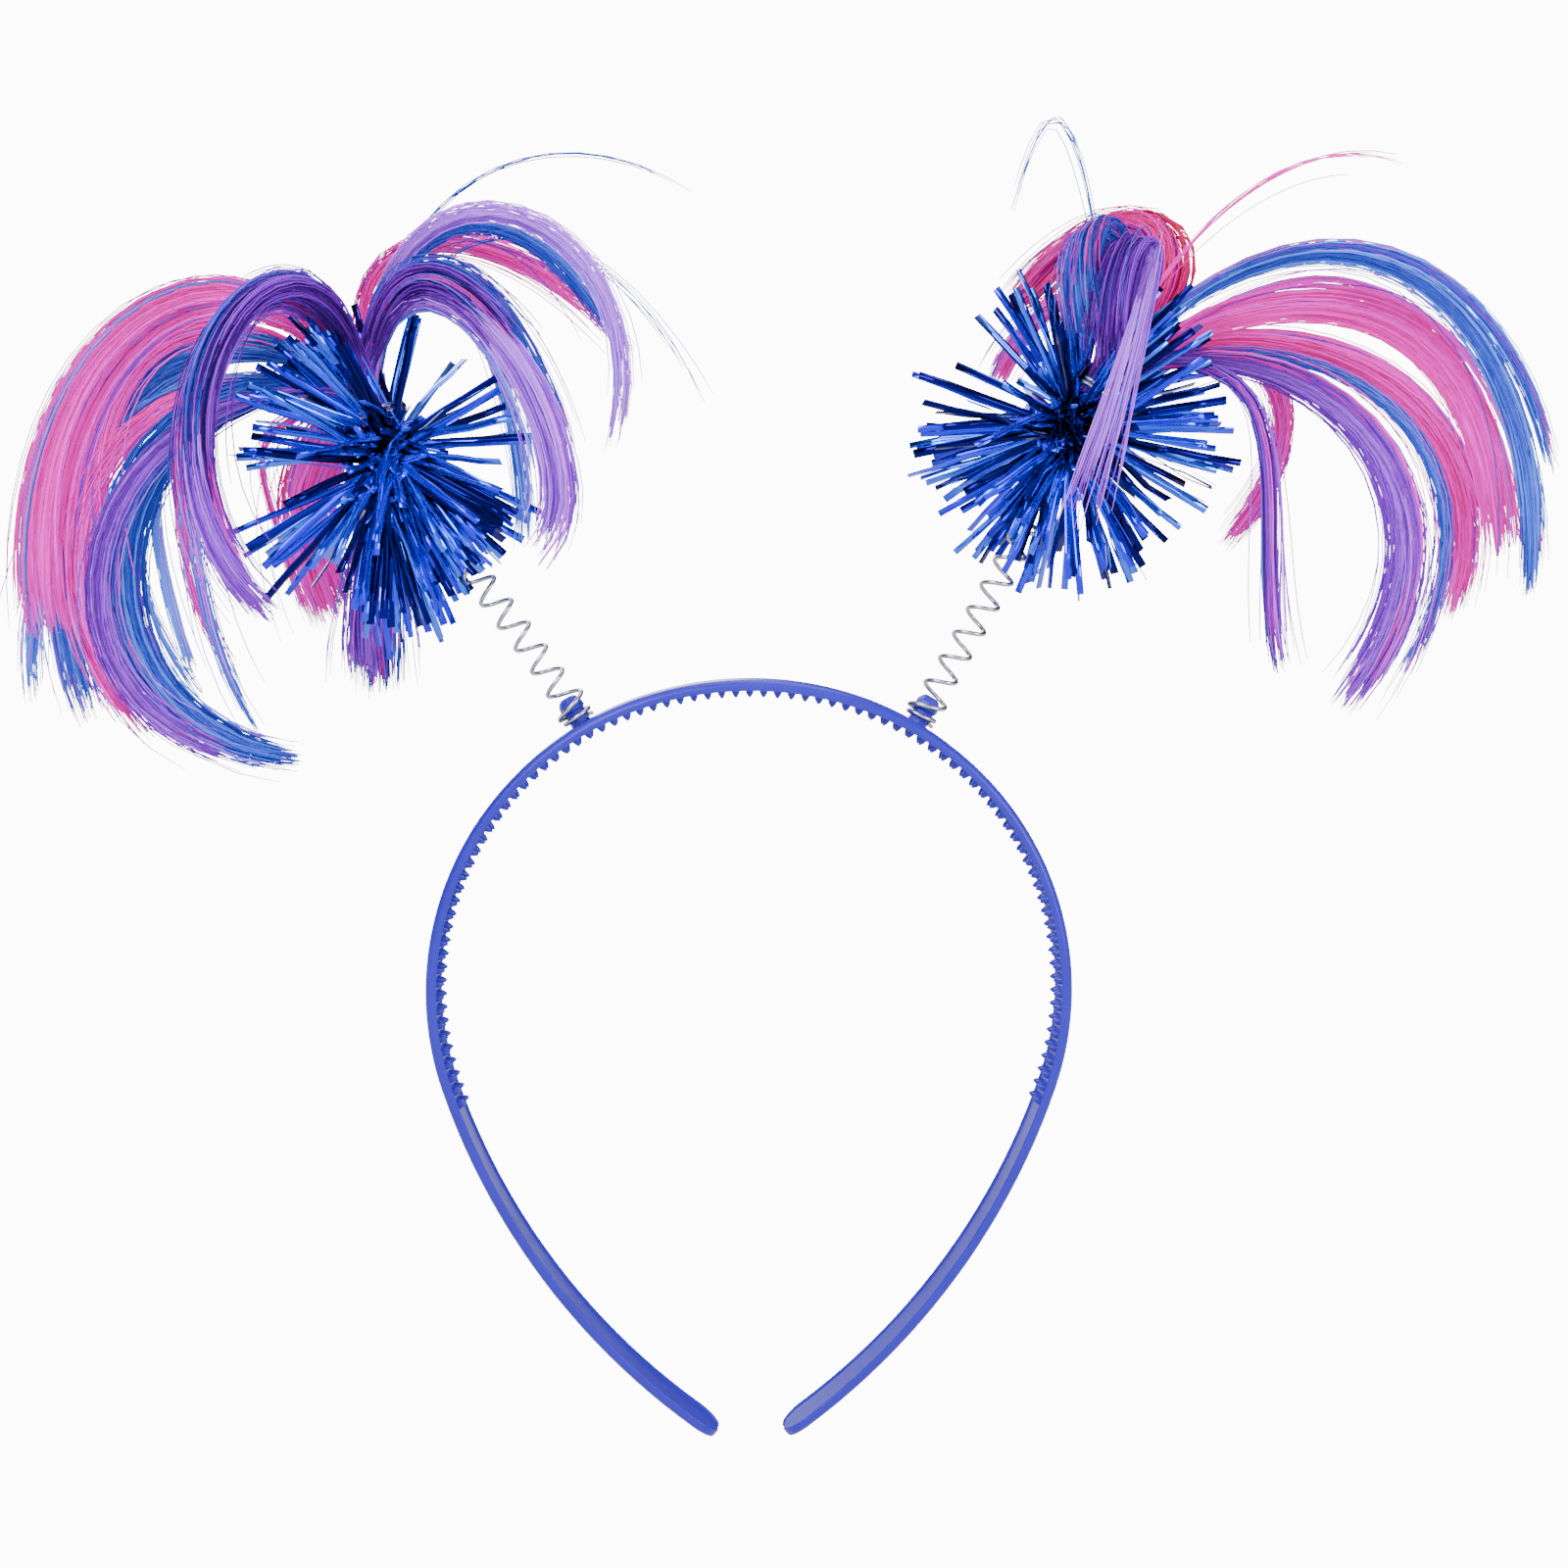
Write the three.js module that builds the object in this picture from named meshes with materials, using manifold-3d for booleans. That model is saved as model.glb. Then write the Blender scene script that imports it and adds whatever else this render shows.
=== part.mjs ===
// Head bopper: a toothed plastic headband with two springs, each carrying a tinsel burst and a plume.
// Millimetres, +Z up, +X to the right as seen from the front, +Y to the back of the head.
// The origin is the middle of the band's inner face at the crown, where the band sits on the head.

import * as THREE from "three";
import { mergeGeometries, mergeVertices } from "three/addons/utils/BufferGeometryUtils.js";
import Module from "manifold-3d";

const wasm = await Module();
wasm.setup();

// Headband
const BAND_WIDTH = 130; // across the outside, side to side
const BAND_DEPTH = 10; // front to back
const BAND_WALL = 2.2;
const CROWN_RADIUS = 69; // outer face over the crown
const CROWN_SWEEP = 18; // degrees from the crown to where the side arc starts
const SIDE_SWEEP = 90;
const ARM_RADIUS = 145; // outer face of the lower arm
const ARM_SWEEP = 34.8;
const EDGE_ROUND = 0.7; // rounding of the band's four long edges
const RIM_WIDTH = 0.8; // raised rim beside the trough of the inner face
const TROUGH_DEPTH = 0.4;
const TIP_FLAT = 0.8; // half width of the small flat at each tip
const ARM_STEPS = 22; // sections of one arm, from the crown to where its tip begins
const TIP_STEPS = 5;

// Teeth in two rows on the inner face
const TOOTH_PITCH = 2.8;
const TOOTH_WIDTH = 2.1; // at the root, inside the wall
const TOOTH_HEIGHT = 1.4; // beyond the rim
const TOOTH_TIP = 0.5;
const TOOTH_ROW_GAP = 4.4; // between the centres of the two rows
const TOOTHED_LENGTH = 121; // along the band from the crown to the last tooth

// Pegs moulded on the band, which the springs clip on
const PEG_ANGLE = 30.2; // degrees from the crown, measured at the band's normal
const PEG_NECK_RADIUS = 2.1;
const PEG_HEAD_RADIUS = 2.6;
const PEG_NECK_HEIGHT = 2.7;
const PEG_HEIGHT = 5.9;
const PEG_SIDES = 8;

// Springs
const WIRE_RADIUS = 0.38;
const COIL_RADIUS = 2.65; // to the wire's centre
const COIL_PITCH = 5.6;
const COIL_STEPS = 8; // straight stretches in each turn of the wire
const CLIP_TURNS = 1.5; // close turns below the peg's head
const WIRE_SIDES = 5;
const FIT_GAP = 0.3; // clearance between pieces that seat on each other

// Tinsel bursts
const CORE_RADIUS = 6;
const SOCKET_DEPTH = 4.5;
const BURST_RADIUS = 33;
const STRIP_COUNT = 38;
const STRIP_WIDTH = 1.5;
const STRIP_UNEVEN = 0.14; // share by which the strips' lengths swing about their mean
const STRIP_SHORTEST = 0.45; // share of a strip that must stay clear for it to be made
const STRIP_ROOT = 0.7; // depth of the strips' roots in the core, as a share of its radius
const STRIP_TAPER = 0.8;
const REACH_STEPS = 24; // places along a strip where it is tested against the plume
const BALL_STEPS = 36; // places along a lock where the strips are tested against it
// Degrees that the strips keep off the spring and off the plume, where they leave the core and at
// their ends
const STRIP_CLEAR = {
  spring: { core: 42, end: 12 },
  plume: { core: 60, end: 36 },
};

// Plumes
const STEM_RADIUS = 3.7;
const STEM_LENGTH = 26.5; // from the middle of the burst to where the locks part
const TIE_RADIUS = 0.5;
const LOCK_REACH = 84; // the unit of the lock tables
const LOCK_WIDTH = 12;
const LOCK_FLATNESS = 0.34; // thickness over width
const LOCK_STEPS = 6;
const LOCK_SIDES = 6;

// Each bopper: which side it is on, and how its spring and plume lean outward from upright
const BOPPERS = [
  { side: "left", sign: -1, springReach: 64.8, springLean: 35.4, topLean: 33, plumeLean: 18 },
  { side: "right", sign: 1, springReach: 66.2, springLean: 27.4, topLean: 22, plumeLean: 33 },
];

// Locks as cubic curves from the root of the plume to a tip, past two control points, the rise and
// the bow. Each point is [out, back, up] in shares of LOCK_REACH: out is away from the middle of the
// head, back is +Y and up is +Z. Width is a share of LOCK_WIDTH.
const LOCKS = {
  left: {
    pink: [
      { rise: [0.43, 0.05, 0.27], bow: [0.96, 0.12, -0.15], tip: [0.72, 0.12, -0.81], width: 1.15 },
      { rise: [0.38, 0.1, 0.17], bow: [0.9, 0.22, -0.3], tip: [0.7, 0.2, -0.86], width: 0.8 },
      { rise: [0.26, 0.3, -0.05], bow: [0.25, 0.55, -0.4], tip: [0.06, 0.47, -0.73], width: 0.9 },
      { rise: [-0.12, 0.03, 0.26], bow: [-0.48, 0.1, 0.26], tip: [-0.71, 0.1, -0.14], width: 0.45 },
    ],
    blue: [
      { rise: [0.43, 0, 0.05], bow: [0.88, 0.02, -0.43], tip: [0.58, 0.02, -0.94], width: 0.7 },
      { rise: [0.45, 0, 0.07], bow: [0.88, -0.01, -0.85], tip: [0.1, 0, -1], width: 0.9 },
      { rise: [0.33, 0, 0], bow: [0.43, 0, -0.57], tip: [0.23, 0, -0.93], width: 0.4 },
      { rise: [-0.37, -0.15, 0], bow: [0.1, 0.98, -0.3], tip: [-0.06, 0.38, -0.85], width: 0.6 },
      { rise: [-0.14, 0, 0.34], bow: [-0.55, 0, 0.25], tip: [-0.64, 0, -0.1], width: 0.45 },
      { rise: [-0.19, 0, 0.24], bow: [-0.48, 0.25, -0.1], tip: [-0.42, 0.22, -0.6], width: 0.5 },
    ],
    violet: [
      { rise: [0.26, -0.04, -0.07], bow: [1, -0.14, -0.93], tip: [0.32, -0.12, -0.96], width: 0.5 },
      { rise: [0.24, -0.2, 0.2], bow: [0.48, -0.52, -0.5], tip: [0.08, -0.46, -0.65], width: 0.85 },
      { rise: [-0.12, -0.03, 0.36], bow: [-0.78, -0.12, 0.34], tip: [-0.6, -0.1, -0.3], width: 0.5 },
      { rise: [-0.19, -0.08, 0.29], bow: [-0.71, -0.18, -0.25], tip: [-0.44, -0.16, -0.57], width: 0.85 },
    ],
  },
  right: {
    pink: [
      { rise: [0.3, 0.04, 0.12], bow: [1.1, 0.12, -0.05], tip: [0.9, 0.1, -0.55], width: 1 },
      { rise: [0.28, 0.08, 0.03], bow: [1.16, 0.2, -0.2], tip: [0.74, 0.16, -0.7], width: 0.9 },
      { rise: [0.36, 0.18, 0], bow: [0.66, 0.34, -0.4], tip: [0.26, 0.33, -0.55], width: 0.7 },
      { rise: [0.13, 0.06, 0.5], bow: [-0.33, 0.4, 0.13], tip: [-0.27, 0.48, -0.25], width: 0.7 },
      { rise: [-0.1, 0.08, 0.24], bow: [-0.38, 0.34, 0.07], tip: [-0.31, 0.38, -0.38], width: 0.5 },
    ],
    blue: [
      { rise: [0.36, 0, 0.27], bow: [1.07, 0.02, 0.14], tip: [0.92, 0.02, -0.69], width: 0.5 },
      { rise: [0.38, -0.01, 0.3], bow: [1, -0.03, 0.18], tip: [0.95, -0.03, -0.4], width: 0.3 },
      { rise: [0.29, 0, -0.02], bow: [1.1, 0.02, -0.4], tip: [0.61, 0.02, -0.88], width: 0.45 },
      { rise: [-0.1, 0, 0.26], bow: [-0.26, -0.3, 0.12], tip: [-0.26, -0.34, -0.04], width: 0.5 },
    ],
    violet: [
      { rise: [0.25, -0.04, -0.08], bow: [0.96, -0.12, -0.58], tip: [0.42, -0.1, -0.92], width: 0.85 },
      { rise: [0.2, -0.08, -0.07], bow: [0.3, -0.18, -0.4], tip: [0.28, -0.16, -0.86], width: 0.45 },
      { rise: [0.01, -0.2, 0.37], bow: [-0.1, -0.6, -0.3], tip: [-0.25, -0.46, -0.51], width: 0.55 },
    ],
  },
};

// Hanks of one plume, from the front to the back of its round stem
const HANKS = [
  { name: "violet", color: 0x9a72d8, layer: -1 },
  { name: "blue", color: 0x2f62cc, layer: 0 },
  { name: "pink", color: 0xf04fbe, layer: 1 },
];

// Width of a lock along its length, as a share of its full width: root, swell, full, tip
const LOCK_SWELL = [
  { along: 0, share: 0.2 },
  { along: 0.15, share: 0.4 },
  { along: 0.4, share: 0.85 },
  { along: 0.65, share: 1 },
  { along: 0.85, share: 0.75 },
  { along: 1, share: 0.12 },
];

// Derived sizes
const SIDE_RADIUS =
  (BAND_WIDTH / 2 - CROWN_RADIUS * sine(CROWN_SWEEP)) / (1 - sine(CROWN_SWEEP));
const TIP_ANGLE = CROWN_SWEEP + SIDE_SWEEP + ARM_SWEEP;
const CLIP_PITCH = 2 * WIRE_RADIUS + FIT_GAP;
const HANK_HALF = (STEM_RADIUS - FIT_GAP) / 3; // half the thickness of one hank's slab of the stem
const LAYER_STEP = 2 * HANK_HALF + FIT_GAP; // from the middle of one hank to the next
const GOLDEN_ANGLE = Math.PI * (3 - Math.sqrt(5));
const WELD = 1e-4; // corners closer than this are one corner

function sine(degrees) {
  return Math.sin(THREE.MathUtils.degToRad(degrees));
}

function cosine(degrees) {
  return Math.cos(THREE.MathUtils.degToRad(degrees));
}

// Direction in the XZ plane that leans from +Z towards +X
function leaning(degrees) {
  return new THREE.Vector3(sine(degrees), 0, cosine(degrees));
}

// Radius to the corners of a regular outline whose flats lie at a given radius
function cornerRadius(flatRadius, sides) {
  return flatRadius / Math.cos(Math.PI / sides);
}

// Positions only, with every triangle on its own corners
function bareOf(geometry) {
  const bare = geometry.index ? geometry.toNonIndexed() : geometry.clone();
  bare.deleteAttribute("normal");
  bare.deleteAttribute("uv");
  return bare;
}

// A closed solid for booleans from any closed geometry
function solidOf(geometry) {
  const merged = mergeVertices(bareOf(geometry), WELD);
  const mesh = new wasm.Mesh({
    numProp: 3,
    vertProperties: new Float32Array(merged.attributes.position.array),
    triVerts: new Uint32Array(merged.index.array),
  });
  return new wasm.Manifold(mesh);
}

function geometryOf(solid) {
  const mesh = solid.getMesh();
  const geometry = new THREE.BufferGeometry();
  geometry.setAttribute("position", new THREE.BufferAttribute(mesh.vertProperties, 3));
  geometry.setIndex(new THREE.BufferAttribute(mesh.triVerts, 1));
  geometry.computeVertexNormals();
  return geometry;
}

// A skin through rings of equally many points, closed by a fan at each end
function loft(rings) {
  const sides = rings[0].length;
  const positions = rings.flat().flatMap((point) => point.toArray());
  const index = [];
  for (let ring = 0; ring < rings.length - 1; ring++) {
    for (let side = 0; side < sides; side++) {
      const a = ring * sides + side;
      const b = ring * sides + ((side + 1) % sides);
      index.push(a, b, b + sides, a, b + sides, a + sides);
    }
  }
  const last = (rings.length - 1) * sides;
  for (let side = 1; side < sides - 1; side++) {
    index.push(0, side + 1, side);
    index.push(last, last + side, last + side + 1);
  }
  const geometry = new THREE.BufferGeometry();
  geometry.setAttribute("position", new THREE.Float32BufferAttribute(positions, 3));
  geometry.setIndex(index);
  return geometry;
}

// The arcs of one arm of the band, each with its centre, radius of the outer face and last angle
function bandArcs() {
  const crown = { radius: CROWN_RADIUS, end: CROWN_SWEEP };
  crown.centre = new THREE.Vector3(0, 0, BAND_WALL - CROWN_RADIUS);
  const side = { radius: SIDE_RADIUS, end: CROWN_SWEEP + SIDE_SWEEP };
  side.centre = crown.centre.clone().addScaledVector(leaning(crown.end), CROWN_RADIUS - SIDE_RADIUS);
  const arm = { radius: ARM_RADIUS, end: TIP_ANGLE };
  arm.centre = side.centre.clone().addScaledVector(leaning(side.end), SIDE_RADIUS - ARM_RADIUS);
  return [crown, side, arm];
}

const ARCS = bandArcs();

// A point of the right arm: angle of the band's normal, height above the inner face, and depth
function bandPoint(angle, height, depth) {
  const arc = ARCS.find((candidate) => angle <= candidate.end) ?? ARCS.at(-1);
  const point = arc.centre.clone().addScaledVector(leaning(angle), arc.radius - BAND_WALL + height);
  point.y = depth;
  return point;
}

// The normal's angle at a length along the inner face from the crown
function angleAtLength(length) {
  let start = 0;
  let left = length;
  for (const arc of ARCS) {
    const radius = arc.radius - BAND_WALL;
    const sweep = arc.end - start;
    const arcLength = radius * THREE.MathUtils.degToRad(sweep);
    if (left <= arcLength || arc === ARCS.at(-1)) {
      return start + THREE.MathUtils.radToDeg(left / radius);
    }
    left -= arcLength;
    start = arc.end;
  }
  return TIP_ANGLE;
}

function bandLength() {
  return ARCS.reduce((sum, arc, i) => {
    const start = i === 0 ? 0 : ARCS[i - 1].end;
    return sum + (arc.radius - BAND_WALL) * THREE.MathUtils.degToRad(arc.end - start);
  }, 0);
}

// One section of the band as pairs of depth and height, for a half depth that narrows at the tips
function bandSection(half) {
  const round = Math.min(EDGE_ROUND, half / 2);
  const trough = Math.max(half - RIM_WIDTH, half / 3);
  const sunk = TROUGH_DEPTH * THREE.MathUtils.smoothstep(half, TIP_FLAT, BAND_DEPTH / 3);
  const inner = half - round / 2;
  const slant = round * (1 - Math.SQRT1_2);
  const oneSide = [
    [trough - sunk, sunk],
    [trough, 0],
    [inner, 0],
    [half, round / 2],
    [half, BAND_WALL - round],
    [half - slant, BAND_WALL - slant],
    [half - round, BAND_WALL],
  ];
  const otherSide = oneSide.map(([depth, height]) => [-depth, height]).reverse();
  return [...oneSide, ...otherSide];
}

// Stations of one arm: a length along the band and the half depth there
function bandStations() {
  const half = BAND_DEPTH / 2;
  const end = bandLength();
  const straight = end - half;
  const stations = [];
  for (let i = 0; i <= ARM_STEPS; i++) {
    stations.push({ length: (straight * i) / ARM_STEPS, half });
  }
  const lastTurn = Math.acos(TIP_FLAT / half);
  for (let i = 1; i <= TIP_STEPS; i++) {
    const turn = (lastTurn * i) / TIP_STEPS;
    stations.push({ length: straight + half * Math.sin(turn), half: half * Math.cos(turn) });
  }
  return stations;
}

function bandStrip() {
  const stations = bandStations();
  const ringAt = ({ length, half }, sign) =>
    bandSection(half).map(([depth, height]) => {
      const point = bandPoint(angleAtLength(length), height, depth);
      point.x *= sign;
      return point;
    });
  const leftRings = stations.slice(1).reverse().map((station) => ringAt(station, -1));
  const rightRings = stations.map((station) => ringAt(station, 1));
  return loft([...leftRings, ...rightRings]);
}

// One tooth, standing on the trough's floor and pointing to the head
function tooth(angle, depth, sign) {
  const ringAt = (height, width) => {
    const point = bandPoint(angle, height, depth);
    const along = leaning(angle + 90).multiplyScalar(width / 2);
    const across = new THREE.Vector3(0, width / 2, 0);
    const corners = [
      point.clone().add(along).add(across),
      point.clone().sub(along).add(across),
      point.clone().sub(along).sub(across),
      point.clone().add(along).sub(across),
    ];
    corners.forEach((corner) => (corner.x *= sign));
    return sign > 0 ? corners.reverse() : corners;
  };
  return loft([ringAt((BAND_WALL + TROUGH_DEPTH) / 2, TOOTH_WIDTH), ringAt(-TOOTH_HEIGHT, TOOTH_TIP)]);
}

function teeth() {
  const perArm = Math.floor(TOOTHED_LENGTH / TOOTH_PITCH);
  const parts = [];
  for (let i = -perArm; i <= perArm; i++) {
    const angle = angleAtLength(Math.abs(i) * TOOTH_PITCH);
    const sign = i < 0 ? -1 : 1;
    for (const row of [-0.5, 0.5]) {
      parts.push(tooth(angle, row * TOOTH_ROW_GAP, sign));
    }
  }
  return mergeGeometries(parts);
}

// A frame whose +Y runs along a direction of the XZ plane, for lathe and cylinder shapes
function standing(origin, direction) {
  const turn = new THREE.Quaternion().setFromUnitVectors(new THREE.Vector3(0, 1, 0), direction);
  return new THREE.Matrix4().compose(origin, turn, new THREE.Vector3(1, 1, 1));
}

// Foot of a peg on the band's outer face, and the way the peg points
function pegSeat(sign) {
  const foot = bandPoint(PEG_ANGLE, BAND_WALL, 0);
  foot.x *= sign;
  return { foot, direction: leaning(PEG_ANGLE * sign) };
}

function peg(sign) {
  const ledge = PEG_HEAD_RADIUS - PEG_NECK_RADIUS;
  const profile = [
    new THREE.Vector2(0, -BAND_WALL / 2),
    new THREE.Vector2(PEG_NECK_RADIUS, -BAND_WALL / 2),
    new THREE.Vector2(PEG_NECK_RADIUS, PEG_NECK_HEIGHT),
    new THREE.Vector2(PEG_HEAD_RADIUS, PEG_NECK_HEIGHT + ledge),
    new THREE.Vector2(PEG_NECK_RADIUS, PEG_HEIGHT - ledge),
    new THREE.Vector2(PEG_NECK_RADIUS * 0.7, PEG_HEIGHT),
    new THREE.Vector2(0, PEG_HEIGHT),
  ];
  const { foot, direction } = pegSeat(sign);
  return new THREE.LatheGeometry(profile, PEG_SIDES).applyMatrix4(standing(foot, direction));
}

function headband() {
  const pegs = mergeGeometries([peg(-1), peg(1)].map((part) => bareOf(part)));
  return geometryOf(solidOf(bandStrip()).add(solidOf(teeth())).add(solidOf(pegs)));
}

// Where a bopper's spring, burst and plume lie
function bopperFrame({ sign, springReach, springLean, topLean, plumeLean }) {
  const { foot, direction } = pegSeat(sign);
  const core = foot.clone().addScaledVector(leaning(springLean * sign), springReach);
  const top = leaning(topLean * sign);
  const plume = leaning(plumeLean * sign);
  const axis = new THREE.CubicBezierCurve3(
    foot,
    foot.clone().addScaledVector(direction, springReach / 3),
    core.clone().addScaledVector(top, -springReach / 3),
    core,
  );
  const root = core.clone().addScaledVector(plume, STEM_LENGTH);
  return { sign, core, top, plume, axis, root };
}

// The wire's centre line: close turns on the peg's neck, one wide turn past its head, then the coil
class SpringWire extends THREE.Curve {
  constructor(axis) {
    super();
    this.axis = axis;
    this.start = FIT_GAP + WIRE_RADIUS;
    this.end = axis.getLength() - CORE_RADIUS + SOCKET_DEPTH - FIT_GAP - WIRE_RADIUS;
    this.clipEnd = this.start + CLIP_TURNS * CLIP_PITCH;
    this.turns = CLIP_TURNS + (this.end - this.clipEnd) / COIL_PITCH;
    this.arcLengthDivisions = Math.ceil(this.turns * 60);
  }

  heightAt(turn) {
    if (turn < CLIP_TURNS) {
      return this.start + turn * CLIP_PITCH;
    }
    return this.clipEnd + (turn - CLIP_TURNS) * COIL_PITCH;
  }

  radiusAt(height) {
    const onNeck = cornerRadius(PEG_NECK_RADIUS + FIT_GAP + WIRE_RADIUS, COIL_STEPS);
    const pastHead = cornerRadius(PEG_HEAD_RADIUS + FIT_GAP + WIRE_RADIUS, COIL_STEPS);
    const widening = THREE.MathUtils.smoothstep(height, this.clipEnd - CLIP_PITCH / 2, PEG_NECK_HEIGHT);
    const closing = THREE.MathUtils.smoothstep(height, PEG_HEIGHT - FIT_GAP, PEG_HEIGHT + COIL_PITCH / 2);
    const base = THREE.MathUtils.lerp(onNeck, pastHead, widening);
    return THREE.MathUtils.lerp(base, COIL_RADIUS, closing);
  }

  getPoint(t) {
    const turn = t * this.turns;
    const height = this.heightAt(turn);
    const along = height / this.axis.getLength();
    const tangent = this.axis.getTangentAt(along);
    const right = new THREE.Vector3(tangent.z, 0, -tangent.x);
    const phase = turn * 2 * Math.PI;
    const radius = this.radiusAt(height);
    return this.axis
      .getPointAt(along)
      .addScaledVector(right, radius * Math.cos(phase))
      .add(new THREE.Vector3(0, radius * Math.sin(phase), 0));
  }
}

function regularShape(radius, sides) {
  const points = [];
  for (let i = 0; i < sides; i++) {
    const turn = (2 * Math.PI * i) / sides;
    points.push(new THREE.Vector2(radius * Math.cos(turn), radius * Math.sin(turn)));
  }
  return new THREE.Shape(points);
}

function spring({ axis }) {
  const wire = new SpringWire(axis);
  return new THREE.ExtrudeGeometry(regularShape(WIRE_RADIUS, WIRE_SIDES), {
    extrudePath: wire,
    steps: Math.round(wire.turns * COIL_STEPS),
  });
}

// The centre line of a lock, from the top of its hank's stem to its tip
function lockCurve(lock, { layer }, { sign, root }) {
  const start = root.clone().setY(layer * LAYER_STEP);
  const place = ([out, back, up]) =>
    new THREE.Vector3(sign * out, back, up).multiplyScalar(LOCK_REACH).add(start);
  return new THREE.CubicBezierCurve3(start, place(lock.rise), place(lock.bow), place(lock.tip));
}

function swellAt(along) {
  const next = LOCK_SWELL.findIndex((row) => row.along >= along);
  if (next <= 0) {
    return LOCK_SWELL[0].share;
  }
  const a = LOCK_SWELL[next - 1];
  const b = LOCK_SWELL[next];
  return THREE.MathUtils.mapLinear(along, a.along, b.along, a.share, b.share);
}

// Half width and half thickness of a lock at a share of its length
function lockHalf(lock, along) {
  const width = (LOCK_WIDTH * lock.width * swellAt(along)) / 2;
  const thick = Math.max(width * LOCK_FLATNESS, Math.min(width, HANK_HALF / 2));
  return { width, thick };
}

// A lock as a flat oval ribbon that keeps its turn as it bends
function lockSolid(lock, hank, frame) {
  const curve = lockCurve(lock, hank, frame);
  const rings = [];
  const wide = new THREE.Vector3(0, 1, 0).cross(curve.getTangent(0));
  for (let step = 0; step <= LOCK_STEPS; step++) {
    const along = step / LOCK_STEPS;
    const tangent = curve.getTangent(along);
    wide.addScaledVector(tangent, -wide.dot(tangent)).normalize();
    const deep = tangent.clone().cross(wide);
    const half = lockHalf(lock, along);
    const ring = [];
    for (let side = 0; side < LOCK_SIDES; side++) {
      const turn = (2 * Math.PI * side) / LOCK_SIDES;
      const point = curve.getPoint(along);
      point.addScaledVector(wide, half.width * Math.cos(turn));
      point.addScaledVector(deep, half.thick * Math.sin(turn));
      ring.push(point);
    }
    rings.push(ring);
  }
  return solidOf(loft(rings));
}

// One hank's share of the round stem: a slab of the bundle, from the core to the root
function stemSlab(layer, { core, plume }) {
  const start = CORE_RADIUS + FIT_GAP;
  const length = STEM_LENGTH + HANK_HALF - start;
  const bundle = new THREE.CylinderGeometry(STEM_RADIUS, STEM_RADIUS, length, 12);
  const slab = new THREE.BoxGeometry(3 * STEM_RADIUS, 2 * length, 2 * HANK_HALF);
  slab.translate(0, 0, -layer * LAYER_STEP);
  const middle = core.clone().addScaledVector(plume, start + length / 2);
  const turn = new THREE.Matrix4().makeBasis(
    new THREE.Vector3(plume.z, 0, -plume.x),
    plume,
    new THREE.Vector3(0, -1, 0),
  );
  turn.setPosition(middle);
  const solid = solidOf(bundle.applyMatrix4(turn));
  return solid.intersect(solidOf(slab.applyMatrix4(turn)));
}

function hankSolid(hank, side, frame) {
  let solid = stemSlab(hank.layer, frame);
  for (const lock of LOCKS[side][hank.name]) {
    solid = solid.add(lockSolid(lock, hank, frame));
  }
  return solid;
}

function hairTie({ core, plume }) {
  const ring = new THREE.TorusGeometry(STEM_RADIUS + FIT_GAP + TIE_RADIUS, TIE_RADIUS, 5, 12);
  ring.rotateX(Math.PI / 2);
  const seat = core.clone().addScaledVector(plume, CORE_RADIUS + FIT_GAP + 3 * TIE_RADIUS);
  return bareOf(ring.applyMatrix4(standing(seat, plume)));
}

// Directions spread evenly over a ball by the golden angle
function evenDirection(i, count) {
  const height = 1 - (2 * i + 1) / count;
  const turn = i * GOLDEN_ANGLE;
  const flat = Math.sqrt(1 - height * height);
  return new THREE.Vector3(flat * Math.cos(turn), flat * Math.sin(turn), height);
}

// A direction pushed out of the cone around an axis, so that it is at least so many degrees off it
function keptOff(direction, axis, degrees) {
  const angle = THREE.MathUtils.radToDeg(direction.angleTo(axis));
  if (angle >= degrees) {
    return direction.clone();
  }
  const hinge = axis.clone().cross(direction).normalize();
  return axis.clone().applyAxisAngle(hinge, THREE.MathUtils.degToRad(degrees));
}

// How far a strip from its root can run along its direction before it meets a lock of the plume
function clearReach(root, tip, balls) {
  for (let step = 1; step <= REACH_STEPS; step++) {
    const point = root.clone().lerp(tip, step / REACH_STEPS);
    for (const ball of balls) {
      if (point.distanceTo(ball.centre) < ball.radius + STRIP_WIDTH / 2 + FIT_GAP) {
        return (step - 1) / REACH_STEPS;
      }
    }
  }
  return 1;
}

// Balls that together cover the locks of a plume
function lockBalls(side, frame) {
  const balls = [];
  for (const hank of HANKS) {
    for (const lock of LOCKS[side][hank.name]) {
      const curve = lockCurve(lock, hank, frame);
      for (let step = 0; step <= BALL_STEPS; step++) {
        const along = step / BALL_STEPS;
        balls.push({ centre: curve.getPoint(along), radius: lockHalf(lock, along).width });
      }
    }
  }
  return balls;
}

// A foil strip as a thin wedge of three sides, from inside the core to a blunt end
function strip(root, tip) {
  const run = tip.clone().sub(root).normalize();
  const wide = run.clone().cross(new THREE.Vector3(0.3, 0.2, 0.93)).normalize();
  const deep = run.clone().cross(wide);
  const ringAt = (centre, width) => [0, 1, 2].map((corner) => {
    const turn = (2 * Math.PI * corner) / 3;
    return centre.clone()
      .addScaledVector(wide, (width / 2) * Math.cos(turn))
      .addScaledVector(deep, (width / 2) * Math.sin(turn));
  });
  return loft([ringAt(root, STRIP_WIDTH), ringAt(tip, STRIP_WIDTH * STRIP_TAPER)]);
}

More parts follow.
